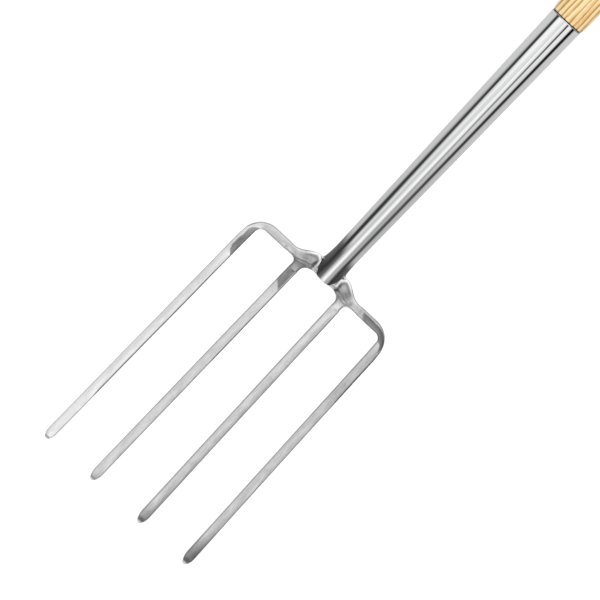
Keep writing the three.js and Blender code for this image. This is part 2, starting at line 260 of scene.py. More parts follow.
def ramp(tree, factor, stops):
    node = add_node(tree, "ShaderNodeValToRGB", {"Fac": factor})
    node.color_ramp.interpolation = "LINEAR"
    elements = node.color_ramp.elements
    while len(elements) < len(stops):
        elements.new(1.0)
    for element, (place, colour) in zip(elements, stops):
        element.position = place
        element.color = (*colour, 1)
    return node.outputs["Color"]


def clouds(tree, vector, scale, detail=3.0, roughness=0.5, distortion=0.0):
    node = add_node(tree, "ShaderNodeTexNoise", {
        "Vector": vector, "Scale": scale, "Detail": detail,
        "Roughness": roughness, "Distortion": distortion,
    })
    return node.outputs["Fac"]


def stretched(tree, vector, factors):
    return vector_maths(tree, "MULTIPLY", vector, factors)


# ---- materials ----

def new_material(name):
    material = bpy.data.materials.new(name)
    material.use_nodes = True
    tree = material.node_tree
    return material, tree, tree.nodes["Principled BSDF"]


def bump(tree, height, distance, strength=1.0, below=None):
    inputs = {"Height": height, "Distance": distance, "Strength": strength}
    if below is not None:
        inputs["Normal"] = below
    return add_node(tree, "ShaderNodeBump", inputs).outputs["Normal"]


def carried(tree, key):
    """A number or vector stored on the piece's points."""
    return add_node(tree, "ShaderNodeAttribute", attribute_name=key).outputs


BELT_MARKS = (70, 1700, 1700)  # per metre along, across and through the bar
SPECKLE = (900, 1300, 1300)
PATCHES = (60, 190, 190)
DIMPLES = (60, 130, 130)
PATCHY = 0.05  # depth of the mottling
PAINTED_SIDE_LIGHT = 14.0  # painted light: how much brighter per metre towards the left edge
PAINTED_REFLECTION_SLANT = -1.0  # slope of the painted dark reflection's end across the bar
PAINTED_REFLECTION_DEPTH = 0.36  # how much darker the painted dark reflection is
PAINTED_DARK_STRIP_DEPTH = 0.5  # and the painted dark strip along the right side, a painted reflection
HOLLOW_DEPTH = 0.07  # the belt leaves the middle of a face a little duller
STEEL_TONES = greys((0.0, 0.05), (0.25, 0.2), (0.5, 0.42), (0.75, 0.72), (1.0, 0.97))


def ground_steel(name, base_roughness, dents=0.25):
    """Satin stainless bar: belt marks along it, mottled patches, and painted light and shade.

    "grain" runs along, left to right and through the bar. The stored brightness is painted light and shade,
    1 a painted highlight and 0 painted shade. The stored dark reflection is how far a spot is past the
    slanting end of a painted dark reflection. "edge" is how wide a painted dark strip, a painted reflection,
    runs along the right side.
    """
    material, tree, shader = new_material(name)
    grain = carried(tree, "grain")["Vector"]
    across = add_node(tree, "ShaderNodeSeparateXYZ", {"Vector": grain}).outputs["Y"]
    marks = clouds(tree, stretched(tree, grain, BELT_MARKS), 1.0, 4.0, 0.65)
    speckle = clouds(tree, stretched(tree, grain, SPECKLE), 1.0, 3.0, 0.7)
    patches = clouds(tree, stretched(tree, grain, PATCHES), 1.0, 4.0, 0.6, 0.4)

    # painted reflection: a dark patch with a slanting end, standing in for a mirrored dark flag
    slant = total(
        tree, carried(tree, "painted_reflection")["Fac"], times(tree, across, PAINTED_REFLECTION_SLANT),
        swing(tree, patches, -1.5 * MM, 1.5 * MM),
    )
    inside_painted_reflection = remap(tree, slant, -1.2 * MM, 1.2 * MM, 1.0, 0.0)
    painted_reflection = times(tree, inside_painted_reflection, remap(tree, across, 2.6 * MM, 3.8 * MM, 1.0, 0.0))
    # painted reflection: a dark strip along the right side of the bar, stored as its width
    painted_dark_strip = total(tree, across, carried(tree, "edge")["Fac"], swing(tree, patches, -0.4 * MM, 0.4 * MM))
    painted_dark_strip_mask = remap(tree, painted_dark_strip, TINE_HALF_WIDE, TINE_HALF_WIDE + 1.2 * MM, 0.0, 1.0)
    hollow = remap(tree, maths(tree, "ABSOLUTE", across), 0.5 * MM, 3.5 * MM, 1.0, 0.0)

    # tone starts from the stored painted brightness, painted light and shade, plus random mottle
    tone = total(
        tree, carried(tree, "painted_light")["Fac"], swing(tree, patches, -PATCHY, PATCHY),
        swing(tree, marks, -0.06, 0.06), swing(tree, speckle, -0.08, 0.08),
    )
    darker = ((across, PAINTED_SIDE_LIGHT), (painted_reflection, PAINTED_REFLECTION_DEPTH), (painted_dark_strip_mask, PAINTED_DARK_STRIP_DEPTH), (hollow, HOLLOW_DEPTH))
    for place, depth in darker:
        tone = maths(tree, "SUBTRACT", tone, times(tree, place, depth))
    rough = total(tree, swing(tree, patches, 0.04, -0.05), base_roughness, swing(tree, speckle, -0.03, 0.04))
    dimples = bump(tree, clouds(tree, stretched(tree, grain, DIMPLES), 1.0, 2.0), 0.6 * MM, dents)

    shader.inputs["Metallic"].default_value = 1.0
    wire(tree, shader.inputs["Base Color"], ramp(tree, tone, STEEL_TONES))
    wire(tree, shader.inputs["Roughness"], rough)
    wire(tree, shader.inputs["Normal"], bump(tree, marks, 0.02 * MM, 0.6, dimples))
    return material


POLISHING_LINES = (900, 900, 6)  # per metre round and along the tube
DRAWN_WAVES = (90, 90, 9)
HAZE = (60, 60, 25)
PAINTED_SHADE_TONE = 0.2  # brightness left under the full painted shade
PAINTED_SHADE_ROUGHNESS = 0.3


def polished_steel(name):
    """Mirror-bright drawn tube with faint polishing lines, and painted shade: a dark reflection painted low
    on the tube, full at 1.
    """
    material, tree, shader = new_material(name)
    place = add_node(tree, "ShaderNodeTexCoord").outputs["Object"]
    lines = clouds(tree, stretched(tree, place, POLISHING_LINES), 1.0, 3.0, 0.6)
    waves = clouds(tree, stretched(tree, place, DRAWN_WAVES), 1.0, 2.0, 0.5)
    haze = clouds(tree, stretched(tree, place, HAZE), 1.0, 4.0, 0.6)
    painted_foot_shade = carried(tree, "painted_foot_shade")["Fac"]
    bright = ramp(tree, lines, [(0.3, (0.84, 0.845, 0.85)), (0.7, (0.93, 0.93, 0.93))])
    darkening = remap(tree, painted_foot_shade, 0.0, 1.0, 1.0, PAINTED_SHADE_TONE)
    rough = total(
        tree, swing(tree, lines, 0.01, 0.045), remap(tree, haze, 0.35, 0.7, 0.0, 0.04),
        remap(tree, painted_foot_shade, 0.2, 1.0, 0.0, PAINTED_SHADE_ROUGHNESS),
    )
    broad = bump(tree, waves, 0.10 * MM, 0.35)
    shader.inputs["Metallic"].default_value = 1.0
    wire(tree, shader.inputs["Base Color"], scaled(tree, bright, darkening))
    wire(tree, shader.inputs["Roughness"], rough)
    wire(tree, shader.inputs["Normal"], bump(tree, lines, 0.006 * MM, 0.5, broad))
    return material


CREAM = (0.92, 0.75, 0.445)
HONEY = (0.68, 0.375, 0.08)
UMBER = (0.45, 0.21, 0.04)
JOINT_BROWN = (0.05, 0.03, 0.015)
RING_WIDTH = 4.6 * MM
RING_TONES = greys((0.0, 0.95), (0.1, 1.0), (0.24, 0.5), (0.44, 0.1), (0.85, 0.0), (1.0, 0.3))
# noises that sway the growth rings: spots per metre, share of that along the grain, and reach
RING_SWAYS = ((30, 0.06, 8 * MM), (110, 0.22, 3.2 * MM), (420, 0.12, 0.7 * MM))
DARKEST_GRAIN = 0.86
JOINT_START, JOINT_END = 0.5 * MM, 1.6 * MM  # the dark line above a joint fades between these


def ash_wood(name, along, pith, cream, honey, deep, joint=None):
    """Lacquered ash: growth rings about an off-centre pith, pores, and a dark line above a joint."""
    material, tree, shader = new_material(name)
    place = add_node(tree, "ShaderNodeTexCoord").outputs["Object"]

    def fibres(scale, squeeze):
        factors = [scale] * 3
        factors[along] = scale * squeeze
        return clouds(tree, stretched(tree, place, factors), 1.0, 3.0, 0.6)

    cross = [1.0, 1.0, 1.0]
    cross[along] = 0.0
    flat = stretched(tree, vector_maths(tree, "SUBTRACT", place, pith), cross)
    radius = vector_maths(tree, "LENGTH", flat)
    for scale, squeeze, sway in RING_SWAYS:
        radius = total(tree, radius, times(tree, fibres(scale, squeeze), sway))
    ring = maths(tree, "FRACT", maths(tree, "DIVIDE", radius, RING_WIDTH))
    early = ramp(tree, ring, RING_TONES)
    pores = remap(tree, fibres(2400, 0.05), 0.52, 0.72, 0.0, 1.0)
    streaks = fibres(420, 0.05)
    broad = fibres(90, 0.08)
    dark = total(
        tree, times(tree, early, swing(tree, streaks, 0.45, 1.2)),
        times(tree, pores, total(tree, times(tree, early, 0.4), 0.12)),
        remap(tree, streaks, 0.35, 0.75, -0.05, 0.22), remap(tree, broad, 0.35, 0.7, -0.04, 0.16),
    )
    dark = maths(tree, "MINIMUM", dark, DARKEST_GRAIN)
    if joint is not None:
        height = add_node(tree, "ShaderNodeSeparateXYZ", {"Vector": place}).outputs["Z"]
        line = remap(tree, height, joint + JOINT_START, joint + JOINT_END, 1.0, 0.0)
        dark = total(tree, dark, line)
    tones = [(0.0, cream), (0.55, honey), (0.9, deep), (1.0, JOINT_BROWN)]
    relief = total(tree, times(tree, pores, -0.6), times(tree, dark, -0.4))
    wire(tree, shader.inputs["Base Color"], ramp(tree, dark, tones))
    wire(tree, shader.inputs["Roughness"], remap(tree, dark, 0.0, 1.0, 0.38, 0.52))
    wire(tree, shader.inputs["Normal"], bump(tree, relief, 0.05 * MM, 0.7))
    shader.inputs["Coat Weight"].default_value = 0.3
    shader.inputs["Coat Roughness"].default_value = 0.18
    return material


ALONG_X, ALONG_Z = 0, 2
WEDGE_TONES = ((0.30, 0.15, 0.065), (0.17, 0.075, 0.03), (0.08, 0.035, 0.015))
bar_steel = ground_steel("ground_steel", 0.2)
yoke_steel = ground_steel("satin_forging_steel", 0.27, 0.15)
weld_steel = ground_steel("ground_weld_steel", 0.24)
screw_steel = ground_steel("screw_steel", 0.16)
tube_steel = polished_steel("polished_steel")
shaft_ash = ash_wood("shaft_ash", ALONG_Z, (0.075, -0.012, 0), CREAM, HONEY, UMBER, SOCKET_TOP)
grip_ash = ash_wood("grip_ash", ALONG_X, (0, 0.045, grip_low.z - 0.02), CREAM, HONEY, UMBER)
wedge_wood = ash_wood("wedge_hardwood", ALONG_Z, (0.03, 0.02, 0), *WEDGE_TONES)


# ---- forged bars: a rounded square section carried along a path ----

def forged_bar_tree():
    """Sweeps a rounded square; each path point carries the reach of its section both ways."""
    tree = bpy.data.node_groups.new("forged_bar", "GeometryNodeTree")
    ports = tree.interface
    ports.new_socket("Geometry", in_out="INPUT", socket_type="NodeSocketGeometry")
    ports.new_socket("Edge Round", in_out="INPUT", socket_type="NodeSocketFloat")
    ports.new_socket("Edge Steps", in_out="INPUT", socket_type="NodeSocketInt")
    ports.new_socket("Finish", in_out="INPUT", socket_type="NodeSocketMaterial")
    ports.new_socket("Geometry", in_out="OUTPUT", socket_type="NodeSocketGeometry")
    given = add_node(tree, "NodeGroupInput").outputs
    path = add_node(tree, "GeometryNodeMeshToCurve", {"Mesh": given["Geometry"]}).outputs["Curve"]
    square = add_node(tree, "GeometryNodeCurvePrimitiveQuadrilateral", {"Width": 2.0, "Height": 2.0})
    rounded = add_node(tree, "GeometryNodeFilletCurve", {
        "Curve": square.outputs["Curve"], "Radius": given["Edge Round"], "Count": given["Edge Steps"],
    }, mode="POLY")
    section = add_node(tree, "GeometryNodeStoreNamedAttribute", {
        "Geometry": rounded.outputs["Curve"], "Name": "spot",
        "Value": add_node(tree, "GeometryNodeInputPosition").outputs["Position"],
    }, data_type="FLOAT_VECTOR", domain="POINT").outputs["Geometry"]
    skin = add_node(tree, "GeometryNodeCurveToMesh", {
        "Curve": path, "Profile Curve": section, "Fill Caps": True,
    }).outputs["Mesh"]

    def stored(name, kind="FLOAT_VECTOR"):
        node = add_node(tree, "GeometryNodeInputNamedAttribute", {"Name": name}, data_type=kind)
        return node.outputs["Attribute"]

    spot = add_node(tree, "ShaderNodeSeparateXYZ", {"Vector": stored("spot")}).outputs
    wide = scaled(tree, stored("wide"), spot["X"])
    deep = scaled(tree, stored("deep"), spot["Y"])
    place = vector_maths(tree, "ADD", stored("centre"), vector_maths(tree, "ADD", wide, deep))
    shaped = add_node(tree, "GeometryNodeSetPosition", {
        "Geometry": skin, "Position": place,
    }).outputs["Geometry"]
    across = times(tree, stored("sideways", "FLOAT"), spot["X"])
    through = times(tree, vector_maths(tree, "LENGTH", stored("deep")), spot["Y"])
    grain = add_node(tree, "ShaderNodeCombineXYZ", {
        "X": stored("along", "FLOAT"), "Y": across, "Z": through,
    }).outputs["Vector"]
    marked = add_node(tree, "GeometryNodeStoreNamedAttribute", {
        "Geometry": shaped, "Name": "grain", "Value": grain,
    }, data_type="FLOAT_VECTOR", domain="POINT").outputs["Geometry"]
    whole = add_node(tree, "GeometryNodeRealizeInstances", {"Geometry": marked}).outputs["Geometry"]
    finished = add_node(tree, "GeometryNodeSetMaterial", {
        "Geometry": whole, "Material": given["Finish"],
    }).outputs["Geometry"]
    add_node(tree, "NodeGroupOutput", {"Geometry": finished})
    return tree


def run_tree(name, seed_object, tree, values):
    """Sets the tree's named inputs, and returns its result as a plain object."""
    modifier = seed_object.modifiers.new("shape", "NODES")
    modifier.node_group = tree
    for item in tree.interface.items_tree:
        if item.in_out == "INPUT" and item.name in values:
            modifier[item.identifier] = values[item.name]
    mesh = shaped_mesh(seed_object)
    bpy.data.objects.remove(seed_object)
    work = bmesh.new()
    work.from_mesh(mesh)
    bmesh.ops.recalc_face_normals(work, faces=work.faces)
    work.to_mesh(mesh)
    work.free()
    smooth_shade(mesh)
    mesh.name = name
    return add_object(name, mesh)


bar_tree = forged_bar_tree()
EDGE_ROUND = 0.2  # of the section's half width
EDGE_STEPS = 3
FAR = 1.0  # no painted dark reflection anywhere near


def forged_bar(name, side, stations, offset, finish, look):
    """stations: (centre, wide reach outward, deep reach) from one end to the other."""
    centres, wides, deeps = zip(*stations)
    along = [offset]
    for before, after in zip(centres, centres[1:]):
        along.append(along[-1] + (after - before).length)
    mesh = bpy.data.meshes.new(name + "_path")
    mesh.from_pydata(centres, [(i, i + 1) for i in range(len(centres) - 1)], [])
    for key, vectors in (("centre", centres), ("wide", wides), ("deep", deeps)):
        mark_vectors(mesh, key, vectors)
    mark_numbers(mesh, "along", along)
    mark_numbers(mesh, "sideways", [side * wide.length for wide in wides])
    # painted light and shade: each station's painted brightness, painted dark reflection and painted dark
    # strip
    mark_numbers(mesh, "painted_light", [look.painted_light(centre.z) for centre in centres])
    mark_numbers(mesh, "painted_reflection", [look.painted_reflection(centre) for centre in centres])
    mark_numbers(mesh, "edge", [look.edge(centre.z) for centre in centres])
    values = {"Edge Round": EDGE_ROUND, "Edge Steps": EDGE_STEPS, "Finish": finish}
    return run_tree(name, add_object(name + "_path", mesh), bar_tree, values)


# ---- tines ----

def read_down(steps, height):
    """Value at a height from (height, value) steps that run from the top down."""
    for (high, first), (low, second) in zip(steps, steps[1:]):
        if height >= low:
            return mix(first, second, clamped((high - height) / (high - low)))
    return steps[-1][1]


class TineLook:
    """How one tine was ground, and the light and shade painted on it; heights and widths are in millimetres.
    """

    def __init__(self, turn, point_turn, nose_thin, painted_brightness, painted_dark_strip, painted_reflection_end=None, painted_reflection_start=0):
        self.turn = turn  # degrees it faces to the right
        self.point_turn = point_turn
        self.nose_thin = nose_thin  # share of the thickness left at the point
        self.painted_brightness = painted_brightness  # (height, painted brightness) from the top down: painted light and shade along the tine
        self.painted_dark_strip = painted_dark_strip  # (height, width of the painted dark strip along the right side, a painted reflection) from the top down
        self.painted_reflection_end = painted_reflection_end  # height down to which a painted dark reflection runs
        self.painted_reflection_start = painted_reflection_start  # distance from the fork's middle where that painted dark reflection starts

    def painted_light(self, height):
        return read_down(self.painted_brightness, height / MM)

    def edge(self, height):
        return read_down(self.painted_dark_strip, height / MM) * MM

    def painted_reflection(self, spot):
        if self.painted_reflection_end is None:
            return FAR
        return max(self.painted_reflection_end * MM - spot.z, self.painted_reflection_start * MM - abs(spot.x))


# each tine's shape, and its painted light and shade: painted brightness, painted dark strip and painted dark
# reflection
LOOKS = {
    ("outer", LEFT): TineLook(
        turn=-1, point_turn=-1, nose_thin=0.85,
        painted_brightness=(
            (0.5, 0.7), (-2, 0.92), (-9, 1.0), (-24, 0.84), (-38, 0.86), (-43, 0.97), (-62, 0.86),
            (-140, 0.92), (-296, 1.0),
        ),
        painted_dark_strip=(
            (-1, 0), (-4, 3.5), (-9, 6.8), (-14, 7.6), (-36, 7.6), (-43, 1.4), (-60, 1.6),
            (-230, 2.0), (-240, 0),
        ),
    ),
    ("inner", LEFT): TineLook(
        turn=0, point_turn=0, nose_thin=0.7,
        painted_brightness=((0, 0.72), (-33, 0.72), (-45, 0.84), (-90, 0.77), (-285, 0.79), (-293, 0.7), (-297, 1.0)),
        painted_dark_strip=((-34, 0), (-40, 1.4), (-130, 1.4), (-140, 0)),
        painted_reflection_end=-33,
    ),
    ("inner", RIGHT): TineLook(
        turn=1, point_turn=2, nose_thin=0.5,
        painted_brightness=((0, 0.8), (-90, 0.75), (-200, 0.73), (-275, 0.71), (-289, 0.5), (-294, 0.46), (-298, 1.0)),
        painted_dark_strip=((-10, 0), (-20, 1.2), (-50, 1.2), (-60, 0), (-280, 0), (-292, 1.0)),
    ),
    ("outer", RIGHT): TineLook(
        turn=-1, point_turn=2, nose_thin=0.45,
        painted_brightness=(
            (14, 0.68), (-20, 0.66), (-70, 0.64), (-110, 0.72), (-225, 0.72), (-262, 0.66),
            (-286, 0.34), (-293, 0.34), (-298, 1.0),
        ),
        painted_dark_strip=((-12, 0), (-20, 1.6), (-75, 1.8), (-90, 0), (-230, 0), (-285, 0.7)),
        painted_reflection_end=-10,
        painted_reflection_start=52,
    ),
}


def tine_line(node):
    """The straight-splayed, forward-swept centre line of a tine as a function of height."""
    tip = centre_near(node, TIP_HEIGHT, MM)
    low = centre_near(node, TIP_HEIGHT + NOSE_LENGTH)
    high = centre_near(node, TIP_HEIGHT / 2, 25 * MM)
    slope = (high.x - low.x) / (high.z - low.z)

    def at(height):
        sweep = tip.y * (min(height, 0) / TIP_HEIGHT) ** 2
        return Vector((low.x + slope * (height - low.z), sweep, height))

    return at


def turned_reach(wide, deep, degrees):
    """Turns a section by a few degrees about the bar's own length, its face towards the right."""
    spin = Matrix.Rotation(math.radians(degrees), 3, "Z")
    return spin @ wide, spin @ deep


TINE_STEP = 5 * MM
NOSE_ANGLES = (8, 16, 24, 32, 40, 48, 55, 62, 68, 74, 79, 83, 86.5)  # of the round nose's sections
POINT_SET_START = -220 * MM  # the tine's set changes to its point's between these heights
POINT_SET_END = -290 * MM
HAND_SHARE = 0.015  # unevenness left by the hammer, as a share of the section
HAND_SHIFT = 0.1 * MM
HAND_TURN = 1.2  # degrees
WOBBLES, SWAYS = 22, 14  # of that unevenness per metre
SET_RUN = 40 * MM  # the tine's set grows to full over this length, and the unevenness over the next
HAND_RUN = 20 * MM
NOSE_OUTLINE = 2.1  # power of the nose's rounding seen from the front
NOSE_FACE = 14  # and seen from the side, where it stays blunt to the end


def tine_stations(line, side, start, look, seed):
    """Sections of a tine from a height down to the point."""
    nose_start = TIP_HEIGHT + NOSE_LENGTH
    count = max(2, round((start - nose_start) / TINE_STEP))
    heights = [mix(start, nose_start, i / count) for i in range(count + 1)]
    heights += [nose_start - NOSE_LENGTH * math.sin(math.radians(angle)) for angle in NOSE_ANGLES]
    stations = []
    for height in heights:
        into = max(0.0, (nose_start - height) / NOSE_LENGTH)
        wide_share = math.sqrt(max(0.0, 1 - into ** NOSE_OUTLINE))
        deep_share = mix(1, look.nose_thin, into ** 2) * math.sqrt(max(0.0, 1 - into ** NOSE_FACE))
        wobble = noise.noise(Vector((seed, height * WOBBLES, 0)))
        sway = noise.noise(Vector((seed, height * SWAYS, 5)))
        wide = Vector((side * TINE_HALF_WIDE * wide_share * (1 + HAND_SHARE * wobble), 0, 0))
        deep = Vector((0, -BAR_HALF_DEEP * deep_share * (1 + HAND_SHARE * sway), 0))
        turn = mix(look.turn, look.point_turn, blend(POINT_SET_START, POINT_SET_END, height))
        turn *= blend(start, start - SET_RUN, height)
        turn += HAND_TURN * sway * blend(start, start - HAND_RUN, height)
        wide, deep = turned_reach(wide, deep, turn)
        centre = line(height) + Vector((HAND_SHIFT * sway, HAND_SHIFT * wobble, 0))
        stations.append((centre, wide, deep))
    return stations


ARM_STATIONS = 6
BEND_STEPS = 18
STRAIGHT_BEFORE_BEND = 4 * MM
STRAIGHT_AFTER_BEND = 6 * MM


def outer_stations(node, side, look, seed):
    """Arm, elbow and tine of an outer bar."""
    line = tine_line(node)
    outer_x = side * line(0).x + TINE_HALF_WIDE
    inner_x = outer_x - 2 * TINE_HALF_WIDE
    outer_centre = Vector((outer_x - ELBOW_OUTER, 0, ARM_TOP - ELBOW_OUTER))
    inner_centre = Vector((inner_x - ELBOW_INNER, 0, ARM_BOTTOM - ELBOW_INNER))
    deep = Vector((0, -BAR_HALF_DEEP, 0))
    stations = []

    def add(top, bottom):
        centre = (top + bottom) / 2
        reach = (top - bottom) / 2
        centre.x *= side
        reach.x *= side
        stations.append((centre, reach, deep.copy()))

    start = arm_weld_high.x
    arm_end = outer_centre.x - STRAIGHT_BEFORE_BEND
    for i in range(ARM_STATIONS):
        x = mix(start, arm_end, i / (ARM_STATIONS - 1))
        add(Vector((x, 0, ARM_TOP)), Vector((x, 0, ARM_BOTTOM)))
    for i in range(BEND_STEPS + 1):
        angle = math.radians(90 * (1 - i / BEND_STEPS))
        ray = Vector((math.cos(angle), 0, math.sin(angle)))
        add(outer_centre + ray * ELBOW_OUTER, inner_centre + ray * ELBOW_INNER)
    tine_start = outer_centre.z - STRAIGHT_AFTER_BEND
    return stations + tine_stations(line, side, tine_start, look, seed)


OUTER_SEED, INNER_SEED = 3, 8
GRAIN_APART = 0.4  # each side's belt marks start elsewhere


def make_tines():
    for side, word in SIDES:
        for kind in ("outer", "inner"):
            node = f"{kind}_tine_{word}"
            look = LOOKS[(kind, side)]
            if kind == "outer":
                stations = outer_stations(node, side, look, OUTER_SEED + side)
            else:
                line = tine_line(node)
                stations = tine_stations(line, side, tine_weld_low.z, look, INNER_SEED + side)
            bar = forged_bar(f"{node}_bar", side, stations, GRAIN_APART * (2 + side), bar_steel, look)
            ready(bar, "ground_steel", node)


WELD_PROUD = 0.06 * MM
WELD_LAP = 0.3 * MM


def make_bar_welds():
    """Ground-flush filler between the bars, a hair proud of them."""
    middle, half_high = (ARM_TOP + ARM_BOTTOM) / 2, (ARM_TOP - ARM_BOTTOM) / 2
    arm_places = (
        (yoke_high.x, 0), (arm_weld_low.x + 0.5 * MM, WELD_PROUD),
        (arm_weld_high.x - 0.2 * MM, WELD_PROUD), (arm_weld_high.x + WELD_LAP, 0),
    )
    tine_places = (
        (tine_weld_high.z + WELD_LAP, 0), (tine_weld_high.z - WELD_LAP, WELD_PROUD),
        (tine_weld_low.z + WELD_LAP, WELD_PROUD), (tine_weld_low.z - WELD_LAP, 0),
    )
    for side, word in SIDES:
        line = tine_line(f"inner_tine_{word}")
        arm, tine = [], []
        for x, more in arm_places:
            deep = Vector((0, -BAR_HALF_DEEP - more, 0))
            arm.append((Vector((side * x, 0, middle)), Vector((0, 0, half_high + more)), deep))
        for z, more in tine_places:
            deep = Vector((0, -BAR_HALF_DEEP - more, 0))
            tine.append((line(z), Vector((side * (TINE_HALF_WIDE + more), 0, 0)), deep))
        for kind, look, stations, offset in (("arm", "outer", arm, 0.1), ("tine", "inner", tine, 0.7)):
            node = f"{kind}_weld_{word}"
            bead = forged_bar(f"{node}_bead", side, stations, offset, weld_steel, LOOKS[(look, side)])
            ready(bead, "weld_steel", node)


# ---- yoke ----

HIP_HALF_DEEP = 8.5 * MM
RIDGE_HALF_DEEP = 4.2 * MM
HIP_FLAT = 15 * MM  # half width of the shoulders' flat top
HIP_FOOT = 42 * MM  # where the shoulder has come down to the arm
HIP_TOP_PULL = 11 * MM  # how far the shoulder's curve holds its direction at each end
HIP_FOOT_PULL = 10 * MM
HIP_SAG = 2.5 * MM  # the ridge lies this much lower beside the tube
GROOVE_WAIST = 0.66  # share of the thickness left beside the tube
BAR_POWER, HIP_POWER = 0.3, 0.66  # roundness of the bar's section and of the shoulder's; 1 is round
STUB_OUTER_ROUND = 5.5 * MM
STUB_INNER_ROUND = 9 * MM
STUB_TOP = 4 * MM
COLLAR_FRONT = -2 * MM  # the collar behind the tube reaches forward to here
OVERRUN = 6 * MM  # the crossbar and stubs are made this much too long, then cut flat
BEAM_STEPS, STUB_STEPS = 60, 24
VOXEL = 0.6 * MM
SOFTEN_STEPS = 18
GROOVE_HALF = 12.6 * MM  # half way between the two grooves beside the tube
RIM_CORNER = 8 * MM  # radius of the corner that the painted highlight along the rims turns
HIP_MOTTLE = 170  # mottled spots per metre
HIP_SAG_RUN = (17 * MM, 12 * MM)  # distances from the middle between which each change happens
UNDERSIDE_RUN = (30 * MM, 22 * MM)
HIP_SWELL_RUN = (40 * MM, 20 * MM)
WAIST_RUN = (20 * MM, 12.5 * MM)
STUB_SWELL_RUN = (44 * MM, 18 * MM)
STUB_SWELL_HEIGHTS = (-9.5 * MM, 12 * MM)
# painted light and shade on the yoke: brightness of arms and shoulders, painted highlight on the rims,
# painted shade in the grooves and on the left stub, painted light on the right stub
ARM_PAINTED_LIGHT, HIP_PAINTED_LIGHT, RIM_PAINTED_HIGHLIGHT = 0.72, 0.52, 0.95
INNER_GROOVE_PAINTED_SHADE, TUBE_GROOVE_PAINTED_SHADE = 0.34, 0.3
LEFT_STUB_PAINTED_SHADE, RIGHT_STUB_PAINTED_LIGHT = 0.5, 0.86
MOTTLE_DEPTH = 0.12
HIP_PAINTED_LIGHT_RUN = (34 * MM, 24 * MM)
INNER_GROOVE_RUN = (6.0 * MM, 3.6 * MM)  # inward from the shoulder's outline
RIM_RUN = (3.0 * MM, 1.2 * MM)
TUBE_GROOVE_RUN = (0.6 * MM, -0.6 * MM)
TUBE_GROOVE_HEIGHTS = (2 * MM, 8 * MM)
STUB_PAINTED_LIGHT_HEIGHTS = (2 * MM, -6 * MM)
STUB_PAINTED_LIGHT_RUN = (14 * MM, 20 * MM)


def yoke_painted_light(spot):
    """Painted highlight round the shoulders' rims, painted shade in the grooves inside them and beside the
    tube, painted light and shade on the stubs, over a random mottle.
    """
    reach = abs(spot.x)
    below_top = max(0, RIM_CORNER - hip_top(reach) + spot.z)
    beside_tube = max(0, RIM_CORNER - reach + GROOVE_HALF)
    inward = RIM_CORNER - math.hypot(below_top, beside_tube)
    strength = blend(*HIP_PAINTED_LIGHT_RUN, reach)
    painted_brightness = mix(ARM_PAINTED_LIGHT, HIP_PAINTED_LIGHT, strength) + MOTTLE_DEPTH * noise.noise(spot * HIP_MOTTLE)
    painted_brightness = mix(painted_brightness, INNER_GROOVE_PAINTED_SHADE, strength * blend(*INNER_GROOVE_RUN, inward))
    painted_brightness = mix(painted_brightness, RIM_PAINTED_HIGHLIGHT, strength * blend(*RIM_RUN, inward))
    groove = blend(*TUBE_GROOVE_RUN, reach - GROOVE_HALF) * blend(*TUBE_GROOVE_HEIGHTS, spot.z)
    painted_brightness = mix(painted_brightness, TUBE_GROOVE_PAINTED_SHADE, groove)
    stub = blend(*STUB_PAINTED_LIGHT_HEIGHTS, spot.z) * blend(*STUB_PAINTED_LIGHT_RUN, reach)
    return mix(painted_brightness, LEFT_STUB_PAINTED_SHADE if spot.x < 0 else RIGHT_STUB_PAINTED_LIGHT, stub)


def mark_steel(mesh):
    """Marks for the ground steel on a piece that isn't a bar, with the yoke's painted light and shade: its
    grain runs across the fork.
    """
    squeeze = 0.3
    spots = [v.co for v in mesh.vertices]
    mark_vectors(mesh, "grain", [(spot.x, squeeze * spot.x, spot.z) for spot in spots])
    # painted light: the second term takes back the painted brighter left edge that the bars have
    mark_numbers(mesh, "painted_light", [yoke_painted_light(spot) + squeeze * spot.x * PAINTED_SIDE_LIGHT for spot in spots])
    mark_numbers(mesh, "painted_reflection", [FAR] * len(spots))
    mark_numbers(mesh, "edge", [-FAR] * len(spots))


def curve_at(places, t):
    """A cubic curve through its first and last place, pulled towards the two between."""
    weights = ((1 - t) ** 3, 3 * t * (1 - t) ** 2, 3 * t * t * (1 - t), t ** 3)
    return sum(weight * place for weight, place in zip(weights, places))


def hip_top(x):
    """Height of the shoulder's ridge beside the socket."""
    reach = abs(x)
    if reach <= HIP_FLAT:
        return SHOULDER_TOP
    if reach >= HIP_FOOT:
        return ARM_TOP
    places = (HIP_FLAT, HIP_FLAT + HIP_TOP_PULL, HIP_FOOT - HIP_FOOT_PULL, HIP_FOOT)
    low, high = 0.0, 1.0
    for _ in range(30):
        t = (low + high) / 2
        low, high = (t, high) if curve_at(places, t) < reach else (low, t)
    return curve_at((SHOULDER_TOP, SHOULDER_TOP, ARM_TOP, ARM_TOP), t)


def beam_ring(x):
    """Section of the crossbar at x: an upright rounded bar that swells into a ridged shoulder."""
    reach = abs(x)
    top = hip_top(x) - HIP_SAG * blend(*HIP_SAG_RUN, reach)
    bottom = mix(ARM_BOTTOM, 0, blend(*UNDERSIDE_RUN, reach))
    swell = blend(*HIP_SWELL_RUN, reach)
    waist = mix(1, GROOVE_WAIST, blend(*WAIST_RUN, reach))
    low_half = mix(BAR_HALF_DEEP, HIP_HALF_DEEP, swell) * waist
    ridge_half = mix(BAR_HALF_DEEP, RIDGE_HALF_DEEP, swell)
    power = mix(BAR_POWER, HIP_POWER, swell)
    ring = []
    for angle in circle(40):
        rise = (squared(math.sin(angle), power) + 1) / 2
        half = mix(low_half, ridge_half, blend(0.25, 1.0, rise))
        ring.append(Vector((x, half * squared(math.cos(angle), power), mix(bottom, top, rise))))
    return ring


